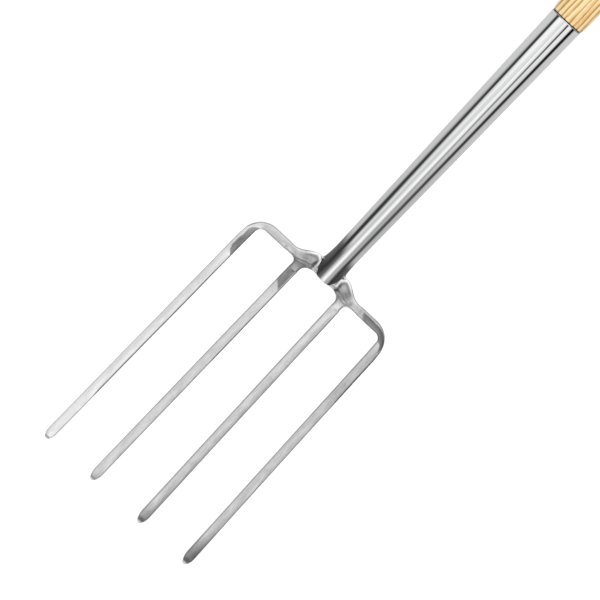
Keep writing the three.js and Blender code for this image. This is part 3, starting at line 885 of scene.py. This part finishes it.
def fillet_reach(radius, lift):
    """How far a fillet stands out at a height above its start."""
    return radius - math.sqrt(radius ** 2 - min(max(lift, 0), radius) ** 2)


def stub_ring(line, side, z):
    """Section of the stub that carries an inner tine, with its fillets to the crossbar."""
    centre = abs(line(z).x)
    outer_x = centre + TINE_HALF_WIDE
    outer_x += fillet_reach(STUB_OUTER_ROUND, z - ARM_BOTTOM + STUB_OUTER_ROUND)
    inner_x = centre - TINE_HALF_WIDE - fillet_reach(STUB_INNER_ROUND, z + STUB_INNER_ROUND)
    middle, half = (outer_x + inner_x) / 2, (outer_x - inner_x) / 2
    ring = []
    for angle in circle(32):
        x = middle + half * squared(math.cos(angle), BAR_POWER)
        swell = blend(*STUB_SWELL_RUN, x) * blend(*STUB_SWELL_HEIGHTS, z)
        half_deep = mix(BAR_HALF_DEEP, 0.9 * HIP_HALF_DEEP, swell)
        ring.append(Vector((side * x, half_deep * squared(math.sin(angle), BAR_POWER), z)))
    return ring


def yoke_parts():
    """Crossbar, stubs, tang and collar as overlapping closed skins."""
    half_span = yoke_high.x + OVERRUN
    beam = [beam_ring(mix(-half_span, half_span, i / BEAM_STEPS)) for i in range(BEAM_STEPS + 1)]
    parts = [rings_mesh("beam", beam)]
    stub_foot = tine_weld_high.z - OVERRUN
    heights = [mix(stub_foot, STUB_TOP, i / STUB_STEPS) for i in range(STUB_STEPS + 1)]
    for side, word in SIDES:
        line = tine_line(f"inner_tine_{word}")
        parts.append(rings_mesh("stub", [stub_ring(line, side, z) for z in heights]))
    tang = FOOT_RADIUS - SOCKET_WALL - 2 * FIT_GAP
    tang_heights = (0.2 * MM, SHOULDER_TOP, yoke_high.z - MM, yoke_high.z)
    parts.append(rings_mesh("tang", [ring_about_z(tang, z) for z in tang_heights]))
    collar = ring_about_z(yoke_high.y - 0.3 * MM, 0)
    collar_sizes = ((0.4 * MM, 0.93), (2 * MM, 0.97), (SHOULDER_TOP - 1.5 * MM, 1.0), (SHOULDER_TOP, 0.95))
    rings = [[Vector((v.x * s, max(v.y, COLLAR_FRONT) * s, z)) for v in collar] for z, s in collar_sizes]
    parts.append(rings_mesh("collar", rings))
    return parts


def join_meshes(name, meshes):
    work = bmesh.new()
    for mesh in meshes:
        work.from_mesh(mesh)
    joined = bpy.data.meshes.new(name)
    work.to_mesh(joined)
    work.free()
    return joined


def cut_flat(work, place, normal, faces):
    """Cuts some faces off where they pass a plane, and closes the cut."""
    parts = dict.fromkeys(faces)
    for face in faces:
        parts.update(dict.fromkeys(face.verts))
        parts.update(dict.fromkeys(face.edges))
    done = bmesh.ops.bisect_plane(work, geom=list(parts), plane_co=place, plane_no=normal, clear_outer=True)
    edges = [e for e in done["geom_cut"] if isinstance(e, bmesh.types.BMEdge)]
    bmesh.ops.holes_fill(work, edges=edges, sides=0)


def stub_faces(work, side):
    """The faces near a stub's lower end."""
    faces = []
    for face in work.faces:
        middle = face.calc_center_median()
        if 10 * MM < side * middle.x < 45 * MM and middle.z < tine_weld_high.z + OVERRUN:
            faces.append(face)
    return faces


def make_yoke():
    """The parts melted into one forging by a voxel remesh, softened, and cut flat at the four welds."""
    block = add_object("yoke_forging", join_meshes("yoke_forging", yoke_parts()))
    remesh = block.modifiers.new("remesh", "REMESH")
    remesh.mode = "VOXEL"
    remesh.voxel_size = VOXEL
    soften = block.modifiers.new("soften", "SMOOTH")
    soften.factor = 0.5
    soften.iterations = SOFTEN_STEPS
    mesh = shaped_mesh(block)
    work = bmesh.new()
    work.from_mesh(mesh)
    for side, _ in SIDES:
        cut_flat(work, (side * yoke_high.x, 0, 0), (side, 0, 0), work.faces[:])
    for side, _ in SIDES:
        cut_flat(work, (0, 0, tine_weld_high.z), (0, 0, -1), stub_faces(work, side))
    bmesh.ops.remove_doubles(work, verts=work.verts, dist=0.01 * MM)
    bmesh.ops.recalc_face_normals(work, faces=work.faces)
    work.to_mesh(mesh)
    work.free()
    smooth_shade(mesh)
    mark_steel(mesh)
    mesh.materials.append(yoke_steel)
    block.data = mesh
    ready(block, "ground_steel", "yoke")


# ---- socket ----

TONGUE_END = socket_low.z
TONGUE_END_HALF = 6.8 * MM
TONGUE_TOP_HALF = 12.2 * MM
TONGUE_CURVE = 1.25  # above 1, the tongue's edges bow outward
FLARE_HEIGHT = 20 * MM
FLARE_LEFT = 1.7 * MM
FLARE_RIGHT = 1.0 * MM
FLARE_POWER = 2.0
FLARE_BACK, FLARE_FRONT = math.radians(150), math.radians(105)  # it fades out towards the back
PAINTED_SHADE_LEAN = 12 * MM
PAINTED_SHADE_FRONT_EDGE = (0.5, -0.3)
LEFT_PAINTED_SHADE_EDGE, LEFT_PAINTED_SHADE_HEIGHTS = (-0.12, -0.34), (50 * MM, 26 * MM)
RIGHT_PAINTED_SHADE_EDGE, RIGHT_PAINTED_SHADE_HEIGHTS = (0.3, 0.6), (38 * MM, 24 * MM)
TUBE_AROUND, TUBE_ROWS, BORE_ROWS = 160, 80, 12
LIP_DROP = 1.2 * MM  # an extra ring below the mouth keeps the mirror straight up to it
LIP_ROUND = 0.55  # height of the rounded rim against half the wall


def tube_radius(z):
    share = (z - SHOULDER_TOP) / (SOCKET_TOP - SHOULDER_TOP)
    return mix(FOOT_RADIUS, MOUTH_RADIUS, share)


def from_front(angle):
    """How far an angle is turned away from the front, either way round."""
    return abs(math.atan2(math.sin(angle), math.cos(angle)))


def tube_foot(angle):
    """Height of the tube's lower edge, where angle 0 faces the front."""
    start = math.asin(TONGUE_END_HALF / tube_radius(TONGUE_END))
    stop = math.asin(TONGUE_TOP_HALF / FOOT_RADIUS)
    if from_front(angle) >= stop:
        return SHOULDER_TOP + FIT_GAP
    climb = max(0.0, (from_front(angle) - start) / (stop - start))
    return mix(TONGUE_END, SHOULDER_TOP + FIT_GAP, climb ** TONGUE_CURVE)


def tube_flare(angle, z):
    """How far the tube's foot spreads sideways into the shoulders."""
    towards_front = blend(FLARE_BACK, FLARE_FRONT, from_front(angle))
    sideways = abs(math.sin(angle)) ** 1.5 * towards_front
    up = clamped((z - tube_foot(angle)) / FLARE_HEIGHT)
    widest = FLARE_LEFT if math.sin(angle) < 0 else FLARE_RIGHT
    return widest * sideways * (1 - up) ** FLARE_POWER


def painted_foot_shade_at(spot):
    """Painted shade above each shoulder, more on the left: the dark reflection the tube shows there, painted
    into its colour.
    """
    turn = spot.x / tube_radius(spot.z)
    left = blend(*LEFT_PAINTED_SHADE_EDGE, turn) * blend(*LEFT_PAINTED_SHADE_HEIGHTS, spot.z + PAINTED_SHADE_LEAN * turn)
    right = blend(*RIGHT_PAINTED_SHADE_EDGE, turn) * blend(*RIGHT_PAINTED_SHADE_HEIGHTS, spot.z)
    front = blend(*PAINTED_SHADE_FRONT_EDGE, spot.y / tube_radius(spot.z))
    return max(left, right) * front


def tube_ring(share, inset):
    """Ring round the tube, from its lower edge at 0 to its mouth at 1."""
    spots = []
    for angle in circle(TUBE_AROUND):
        z = mix(tube_foot(angle), SOCKET_TOP, share ** 2.2)
        radius = tube_radius(z) - inset
        side = math.copysign(tube_flare(angle, z), math.sin(angle))
        spots.append(Vector((radius * math.sin(angle) + side, -radius * math.cos(angle), z)))
    return spots


def rim_ring(degrees):
    """Ring of the rounded rim: 0 at its outside, 90 at its crown and 180 at its inside."""
    angle = math.radians(degrees)
    shrink = 1 - SOCKET_WALL / 2 * (1 - math.cos(angle)) / MOUTH_RADIUS
    drop = SOCKET_WALL / 2 * (1 - math.sin(angle)) * LIP_ROUND
    return [Vector((s.x * shrink, s.y * shrink, SOCKET_TOP - drop)) for s in tube_ring(1, 0)]


def make_socket():
    """Tapered tube with its front tongue, a rounded rim and its bore, all in one skin."""
    outer = [tube_ring(i / TUBE_ROWS, 0) for i in range(TUBE_ROWS)]
    lip = [Vector((s.x, s.y, SOCKET_TOP - LIP_DROP)) for s in tube_ring(1, 0)]
    crown = [rim_ring(degrees) for degrees in range(0, 181, 30)]
    bore = [tube_ring(1 - i / BORE_ROWS, SOCKET_WALL) for i in range(1, BORE_ROWS + 1)]
    mesh = rings_mesh("socket_tube", [*outer, lip, *crown, *bore], closed=True)
    # painted shade: the dark reflection low on the tube above each shoulder
    mark_numbers(mesh, "painted_foot_shade", [painted_foot_shade_at(v.co) for v in mesh.vertices])
    mesh.materials.append(tube_steel)
    ready(add_object("socket_tube", mesh), "polished_steel", "socket")


BEAD_START, BEAD_END = math.radians(62), math.radians(298)  # round the tube from the front
BEAD_SECTION = (
    (-0.25, -0.25), (1.0, -0.25), (0.98, 0.04), (0.6, 0.14), (0.34, 0.3), (0.16, 0.56), (0.04, 0.96),
    (-0.25, 1.0),
)  # outward and upward, as shares of the bead's legs


def make_socket_bead():
    """Concave fillet bead from the tube's sides round its back, thinning out towards the front."""
    foot_radius = tube_radius(bead_low.z)
    rings = []
    sections = 90
    for i in range(sections + 1):
        angle = mix(BEAD_START, BEAD_END, i / sections)
        taper = math.sin(math.pi * i / sections) ** 0.35 if 0 < i < sections else 0.05
        ripple = 1 + 0.05 * math.sin(i * 1.9) + 0.03 * math.sin(i * 4.3)
        upright_leg = (bead_high.z - bead_low.z) * taper * ripple
        flat_leg = (bead_high.y - foot_radius) * taper * ripple
        ring = []
        for outward, upward in BEAD_SECTION:
            radius = foot_radius + flat_leg * outward
            height = bead_low.z - FIT_GAP + upright_leg * upward
            ring.append(Vector((radius * math.sin(angle), -radius * math.cos(angle), height)))
        rings.append(ring)
    mesh = rings_mesh("socket_foot_bead", rings)
    mark_steel(mesh)
    mesh.materials.append(weld_steel)
    ready(add_object("socket_foot_bead", mesh), "weld_steel", "socket_weld")


# ---- handle ----

SHAFT_TOP_RADIUS = 16.4 * MM
SHAFT_SHOULDER_RADIUS = 18.4 * MM
SHAFT_SHOULDER_RUN = 18 * MM
SHAFT_STRAIGHT_RUN = 60 * MM
TENON_RADIUS = 11 * MM
SADDLE_DEPTH = 2.5 * MM
GRIP_HEIGHT = (grip_low.z + grip_high.z) / 2
GRIP_RADIUS = (grip_high.y - grip_low.y) / 2
GRIP_WAIST_RADIUS = 14.6 * MM
GRIP_END_RADIUS = 16 * MM
GRIP_END_ROUND = 5 * MM
SEAT_HEIGHT = GRIP_HEIGHT - GRIP_RADIUS + SADDLE_DEPTH
PIN_HEIGHT = (pin_low.z + pin_high.z) / 2
PIN_END_ROUND = 0.5 * MM
WEDGE_TIP_SHARE = 0.3  # thickness at the tip against the top
WEDGE_PROUD = 0.12 * MM
SHOULDER_STEPS, TAPER_STEPS, BARREL_STEPS = 14, 39, 72
MORTISE_GAP = 0.35 * MM
POLE = 0.05 * MM  # radius left where a turned piece closes on its axis


def turned_mesh(name, profile, around=96):
    """A solid of revolution about Z through (radius, height) spots."""
    return rings_mesh(name, [ring_about_z(radius, z, around) for radius, z in profile])


def shaft_profile():
    """Tapered foot inside the tube, rounded shoulder above its mouth, long taper, seat and tenon."""
    mouth = SOCKET_TOP + FIT_GAP
    joint = MOUTH_RADIUS - FIT_GAP
    lining = SOCKET_WALL + FIT_GAP
    foot, top = shaft_low.z, shaft_high.z
    spots = [
        (0.5 * MM, foot), (tube_radius(foot) - lining, foot),
        (tube_radius(mouth) - lining, mouth - 0.2 * MM), (joint - 0.5 * MM, mouth),
    ]
    for i in range(1, SHOULDER_STEPS + 1):
        t = i / SHOULDER_STEPS
        radius = mix(SHAFT_SHOULDER_RADIUS, joint, (1 - t) ** 2)
        height = 2 * t * (1 - t) * SHAFT_SHOULDER_RUN / 5 + t * t * SHAFT_SHOULDER_RUN
        spots.append((radius, mouth + height))
    for i in range(1, TAPER_STEPS + 1):
        t = i / TAPER_STEPS
        height = mix(mouth + SHAFT_SHOULDER_RUN, SEAT_HEIGHT - SHAFT_STRAIGHT_RUN, t)
        spots.append((mix(SHAFT_SHOULDER_RADIUS, SHAFT_TOP_RADIUS, t), height))
    spots += [
        (SHAFT_TOP_RADIUS, SEAT_HEIGHT - SHAFT_STRAIGHT_RUN / 2), (SHAFT_TOP_RADIUS, SEAT_HEIGHT),
        (TENON_RADIUS, SEAT_HEIGHT + 0.2 * MM), (TENON_RADIUS, top - 0.8 * MM),
        (TENON_RADIUS - 0.25 * MM, top - 0.2 * MM), (TENON_RADIUS - 0.8 * MM, top), (0.5 * MM, top),
    ]
    return spots


def make_shaft():
    mesh = turned_mesh("ash_shaft", shaft_profile())
    mesh.materials.append(shaft_ash)
    ready(add_object("ash_shaft", mesh), "ash", "shaft")


def carved(name, mesh, cutter_meshes, finish):
    """The mesh with each cutter taken out of it, all in one finish."""
    block = add_object(name, mesh)
    for cutter_mesh in cutter_meshes:
        cutter = add_object("cutter", cutter_mesh)
        cut = block.modifiers.new("cut", "BOOLEAN")
        cut.operation = "DIFFERENCE"
        cut.solver = "EXACT"
        cut.object = cutter
        block.data = shaped_mesh(block)
        bpy.data.objects.remove(cutter)
    smooth_shade(block.data)
    block.data.materials.clear()
    block.data.materials.append(finish)
    return block


def barrel_radius(x):
    """The grip's radius: full in the middle, a waist on each side and a little fuller at the ends."""
    out = abs(x) / grip_high.x
    hub = mix(GRIP_RADIUS, GRIP_WAIST_RADIUS, blend(0.08, 0.55, out))
    return hub + (GRIP_END_RADIUS - GRIP_WAIST_RADIUS) * blend(0.55, 1.0, out)


def make_grip():
    """Turned crosspiece with a mortise through its upper half and a bore for the pin."""
    barrel = grip_high.x - GRIP_END_ROUND
    end = []
    for degrees in (89, 75, 60, 45, 30, 15):
        angle = math.radians(degrees)
        radius = GRIP_END_RADIUS - GRIP_END_ROUND + GRIP_END_ROUND * math.cos(angle)
        end.append((-barrel - GRIP_END_ROUND * math.sin(angle), radius))
    places = [mix(-barrel, barrel, i / BARREL_STEPS) for i in range(BARREL_STEPS + 1)]
    profile = end + [(x, barrel_radius(x)) for x in places] + [(-x, radius) for x, radius in reversed(end)]
    mesh = rings_mesh("ash_t_grip", [ring_about_x(radius, x, GRIP_HEIGHT) for x, radius in profile])
    room = TENON_RADIUS + MORTISE_GAP
    mortise = turned_mesh("mortise", ((room, GRIP_HEIGHT), (room, GRIP_HEIGHT + 2 * GRIP_RADIUS)), 64)
    bore = pin_high.x + FIT_GAP
    hole = ((POLE, -1), (bore, -1), (bore, 1), (POLE, 1))
    pin_hole = rings_mesh("pin_hole", [ring_about_y(r, 2 * GRIP_RADIUS * y, PIN_HEIGHT) for r, y in hole])
    ready(carved("ash_t_grip", mesh, (mortise, pin_hole), grip_ash), "ash", "t_grip")


def make_wedge():
    """Hardwood wedge across the tenon, trimmed level with it."""
    rings = []
    for t, trim in ((0.0, 0.92), (0.05, 1.0), (0.35, 1.0), (0.7, 1.0), (0.97, 1.0), (1.0, 0.93)):
        thick = mix(wedge_high.x * WEDGE_TIP_SHARE, wedge_high.x, t) * trim
        wide = wedge_high.y * mix(0.985, 1.0, trim)
        z = mix(wedge_low.z, wedge_high.z + WEDGE_PROUD, t)
        rings.append([
            Vector((thick * squared(math.sin(a), 0.25), wide * squared(math.cos(a), 0.25), z))
            for a in circle(24)
        ])
    mesh = rings_mesh("hardwood_wedge", rings)
    mesh.materials.append(wedge_wood)
    ready(add_object("hardwood_wedge", mesh), "wedge_wood", "tenon_wedge")


def make_pin():
    """Steel pin with slightly rounded ends."""
    spots = [(POLE, -pin_high.y)]
    for degrees in (25, 50, 75, 90):
        angle = math.radians(degrees)
        spots.append((pin_high.x * math.sin(angle), PIN_END_ROUND * (1 - math.cos(angle)) - pin_high.y))
    spots += [(radius, -y) for radius, y in reversed(spots)]
    mesh = rings_mesh("steel_grip_pin", [ring_about_y(radius, y, PIN_HEIGHT) for radius, y in spots])
    mark_steel(mesh)
    mesh.materials.append(screw_steel)
    ready(add_object("steel_grip_pin", mesh), "screw_steel", "grip_pin")


# ---- screws in the back of the socket ----

SCREW_HEAD_HEIGHT = 2.6 * MM
SCREW_HEAD_EDGE = 0.3 * MM  # upright edge under the dome
SCREW_SHANK = 2.1 * MM
SCREW_POINT_RUN = 5 * MM
SCREW_THREADS = 8
SCREW_THREADS_END = 4 * MM  # below the head
SCREW_SLOT_WIDE = 1.1 * MM
SCREW_SLOT_DEEP = 1.1 * MM


def screw_profile(tip, top, head_radius):
    """Point, threads, shank and domed head as (radius, depth) spots."""
    head = top - SCREW_HEAD_HEIGHT
    spots = [(POLE, tip), (0.5 * MM, tip + 0.8 * MM), (0.9 * SCREW_SHANK, tip + SCREW_POINT_RUN)]
    pitch = (head - SCREW_THREADS_END - tip - SCREW_POINT_RUN) / SCREW_THREADS
    for i in range(SCREW_THREADS):
        y = tip + SCREW_POINT_RUN + pitch * i
        spots += [(0.72 * SCREW_SHANK, y + 0.2 * MM), (SCREW_SHANK, y + pitch / 2)]
    spots += [
        (SCREW_SHANK, head - 3 * MM), (SCREW_SHANK, head),
        (head_radius - SCREW_HEAD_EDGE, head), (head_radius, head + 0.25 * MM),
    ]
    for degrees in (12, 26, 40, 54, 68, 80):
        angle = math.radians(degrees)
        dome = SCREW_HEAD_EDGE + (SCREW_HEAD_HEIGHT - SCREW_HEAD_EDGE) * math.sin(angle)
        spots.append((head_radius * math.cos(angle), head + dome))
    spots.append((0.1 * MM, top))
    return spots


def make_screw(place):
    """Dome-headed slotted wood screw driven in from behind."""
    low, high = map(Vector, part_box(f"socket_screw_{place}"))
    height = (low.z + high.z) / 2
    profile = screw_profile(low.y, high.y, high.x)
    mesh = rings_mesh("screw", [ring_about_y(radius, y, height, 48) for radius, y in profile])
    slot = bpy.data.meshes.new("slot")
    work = bmesh.new()
    bmesh.ops.create_cube(work, size=1)
    bmesh.ops.scale(work, vec=(4 * high.x, 2 * SCREW_SLOT_DEEP, SCREW_SLOT_WIDE), verts=work.verts)
    bmesh.ops.translate(work, vec=(0, high.y, height), verts=work.verts)
    work.to_mesh(slot)
    work.free()
    block = carved(f"socket_screw_{place}_steel", mesh, (slot,), screw_steel)
    mark_steel(block.data)
    ready(block, "screw_steel", f"socket_screw_{place}")


make_tines()
make_bar_welds()
make_yoke()
make_socket()
make_socket_bead()
make_shaft()
make_grip()
make_wedge()
make_pin()
make_screw("upper")
make_screw("lower")


# ---- studio ----

FLOOR_DROP = 25 * MM  # the fork is held just clear of the floor
FLOOR_HALF = 14  # metres
FLOOR_GLOW = 0.5
WHITE = (1.05, 1.05, 1.05, 1)


def make_floor():
    """Pale floor below the tines' points, left out of the steel's reflections."""
    work = bmesh.new()
    bmesh.ops.create_grid(work, x_segments=2, y_segments=2, size=FLOOR_HALF)
    mesh = bpy.data.meshes.new("studio_floor")
    work.to_mesh(mesh)
    work.free()
    for vertex in mesh.vertices:
        vertex.co.z = TIP_HEIGHT - FLOOR_DROP
    material, tree, shader = new_material("pale_floor")
    shader.inputs["Base Color"].default_value = (0.8, 0.8, 0.8, 1)
    shader.inputs["Emission Color"].default_value = (1, 1, 1, 1)
    shader.inputs["Emission Strength"].default_value = FLOOR_GLOW
    shader.inputs["Roughness"].default_value = 0.9
    shader.inputs["Specular IOR Level"].default_value = 0.0
    mesh.materials.append(material)
    floor = add_object("studio_floor", mesh)
    floor.visible_glossy = False


# Brightness of the studio round the fork, as (degrees from the front, level).
HIGH_PANELS = (
    (-180, 0.66), (-88, 0.68), (-80, 0.5), (-73, 0.08), (-63, 0.02), (-57, 0.3), (-53, 1.0), (-36, 1.08),
    (-16, 0.86), (-8, 0.76), (2, 1.06), (9, 0.9), (16, 0.7), (19, 0.02), (25.5, 0.02), (30, 0.97),
    (50, 0.95), (57, 0.3), (61, 0.0), (74, 0.0), (80, 0.4), (86, 0.66), (180, 0.66),
)
LOW_PANELS = (
    (-180, 0.6), (-96, 0.58), (-88, 0.34), (-80, 0.06), (-62, 0.03), (-54, 0.14), (-47, 0.5), (-38, 0.82),
    (-20, 0.58), (-11, 0.72), (2, 1.08), (12, 1.02), (20, 0.62), (30, 0.4), (42, 0.5), (50, 0.34), (58, 0.12),
    (72, 0.05), (82, 0.3), (92, 0.52), (180, 0.56),
)
LEANING_FLAGS = (
    (-180, 0.6), (-165, 0.45), (-148, 0.08), (-50, 0.05), (-28, 0.85), (28, 0.85), (50, 0.05), (148, 0.08),
    (165, 0.45), (180, 0.6),
)
DEEP_PANELS = (
    (-180, 0.5), (-110, 0.75), (-80, 0.7), (-62, 0.12), (-45, 0.15), (-25, 0.27), (25, 0.27), (40, 0.85),
    (70, 0.9), (85, 0.1), (100, 0.1), (125, 0.6), (180, 0.5),
)
FLOOR_BOUNCE = ((-180, 0.4), (-80, 0.4), (-50, 0.85), (50, 0.85), (80, 0.4), (180, 0.4))
SOFT_LIGHT = (
    (-180, 0.5), (-100, 0.35), (-60, 0.7), (-10, 1.5), (25, 1.5), (60, 0.85), (110, 0.5), (180, 0.5),
)
OVERHEAD = ((-180, 1.05), (180, 1.05))

# Each layer of panels takes over between two rises above the level, in degrees.
PANEL_LAYERS = (
    (LOW_PANELS, -5.5, -11), (LEANING_FLAGS, -3, 8), (OVERHEAD, 24, 38), (DEEP_PANELS, -24, -36),
    (FLOOR_BOUNCE, -50, -60),
)


def panel_ramp(tree, turn, panels):
    return ramp(tree, turn, greys(*(((degrees + 180) / 360, level) for degrees, level in panels)))


def colour_output(node):
    return [s for s in node.outputs if s.type == "RGBA"][0]


def colour_input(node, name):
    return [s for s in node.inputs if s.name == name and s.type == "RGBA"][0]


def light_world():
    """White behind the fork, softer light on wood, and panels with dark flags for steel to mirror."""
    world = bpy.data.worlds.new("studio")
    world.use_nodes = True
    tree = world.node_tree
    direction = add_node(tree, "ShaderNodeTexCoord").outputs["Generated"]
    parts = add_node(tree, "ShaderNodeSeparateXYZ", {"Vector": direction}).outputs
    turn = maths(tree, "ARCTAN2", parts["X"], times(tree, parts["Y"], -1.0))
    turn = remap(tree, turn, -math.pi, math.pi, 0.0, 1.0)
    rise = maths(tree, "ARCSINE", parts["Z"])

    def mixed(factor, first, second):
        node = add_node(tree, "ShaderNodeMix", {"Factor": factor}, data_type="RGBA")
        wire(tree, colour_input(node, "A"), first)
        wire(tree, colour_input(node, "B"), second)
        return colour_output(node)

    panels = panel_ramp(tree, turn, HIGH_PANELS)
    for layer, start, end in PANEL_LAYERS:
        share = remap(tree, rise, math.radians(start), math.radians(end), 0.0, 1.0)
        panels = mixed(share, panels, panel_ramp(tree, turn, layer))
    rays = add_node(tree, "ShaderNodeLightPath").outputs
    light = mixed(rays["Is Glossy Ray"], panel_ramp(tree, turn, SOFT_LIGHT), panels)
    light = mixed(rays["Is Camera Ray"], light, WHITE)
    wire(tree, tree.nodes["Background"].inputs["Color"], light)
    bpy.context.scene.world = world


# ---- camera ----

VIEW_AZIMUTH = -2.8
VIEW_ELEVATION = 12.0
VIEW_ROLL = 43.34  # the camera leans over, so the handle points to the upper right
VIEW_DISTANCE = 2.6
VIEW_LENS = 162.7
SENSOR_WIDTH = 36
AIM_BELOW_CROSSBAR = 0.0297
AIM_SIDE = -0.0023


def make_camera():
    azimuth, elevation, roll = map(math.radians, (VIEW_AZIMUTH, VIEW_ELEVATION, VIEW_ROLL))
    back = Vector((
        math.sin(azimuth) * math.cos(elevation),
        -math.cos(azimuth) * math.cos(elevation),
        math.sin(elevation),
    ))
    level = Vector((0, 0, 1)).cross(back).normalized()
    above = back.cross(level)
    right = level * math.cos(roll) + above * math.sin(roll)
    up = back.cross(right)
    data = bpy.data.cameras.new("studio_camera")
    data.lens = VIEW_LENS
    data.sensor_width = SENSOR_WIDTH
    data.clip_end = 50
    camera = bpy.data.objects.new("studio_camera", data)
    aim = Vector((AIM_SIDE, 0, -AIM_BELOW_CROSSBAR))
    turn = Matrix((right, up, back)).transposed().to_4x4()
    camera.matrix_world = Matrix.Translation(aim + back * VIEW_DISTANCE) @ turn
    bpy.context.scene.collection.objects.link(camera)
    bpy.context.scene.camera = camera


make_camera()
make_floor()
light_world()
bpy.context.scene.view_settings.view_transform = "Standard"
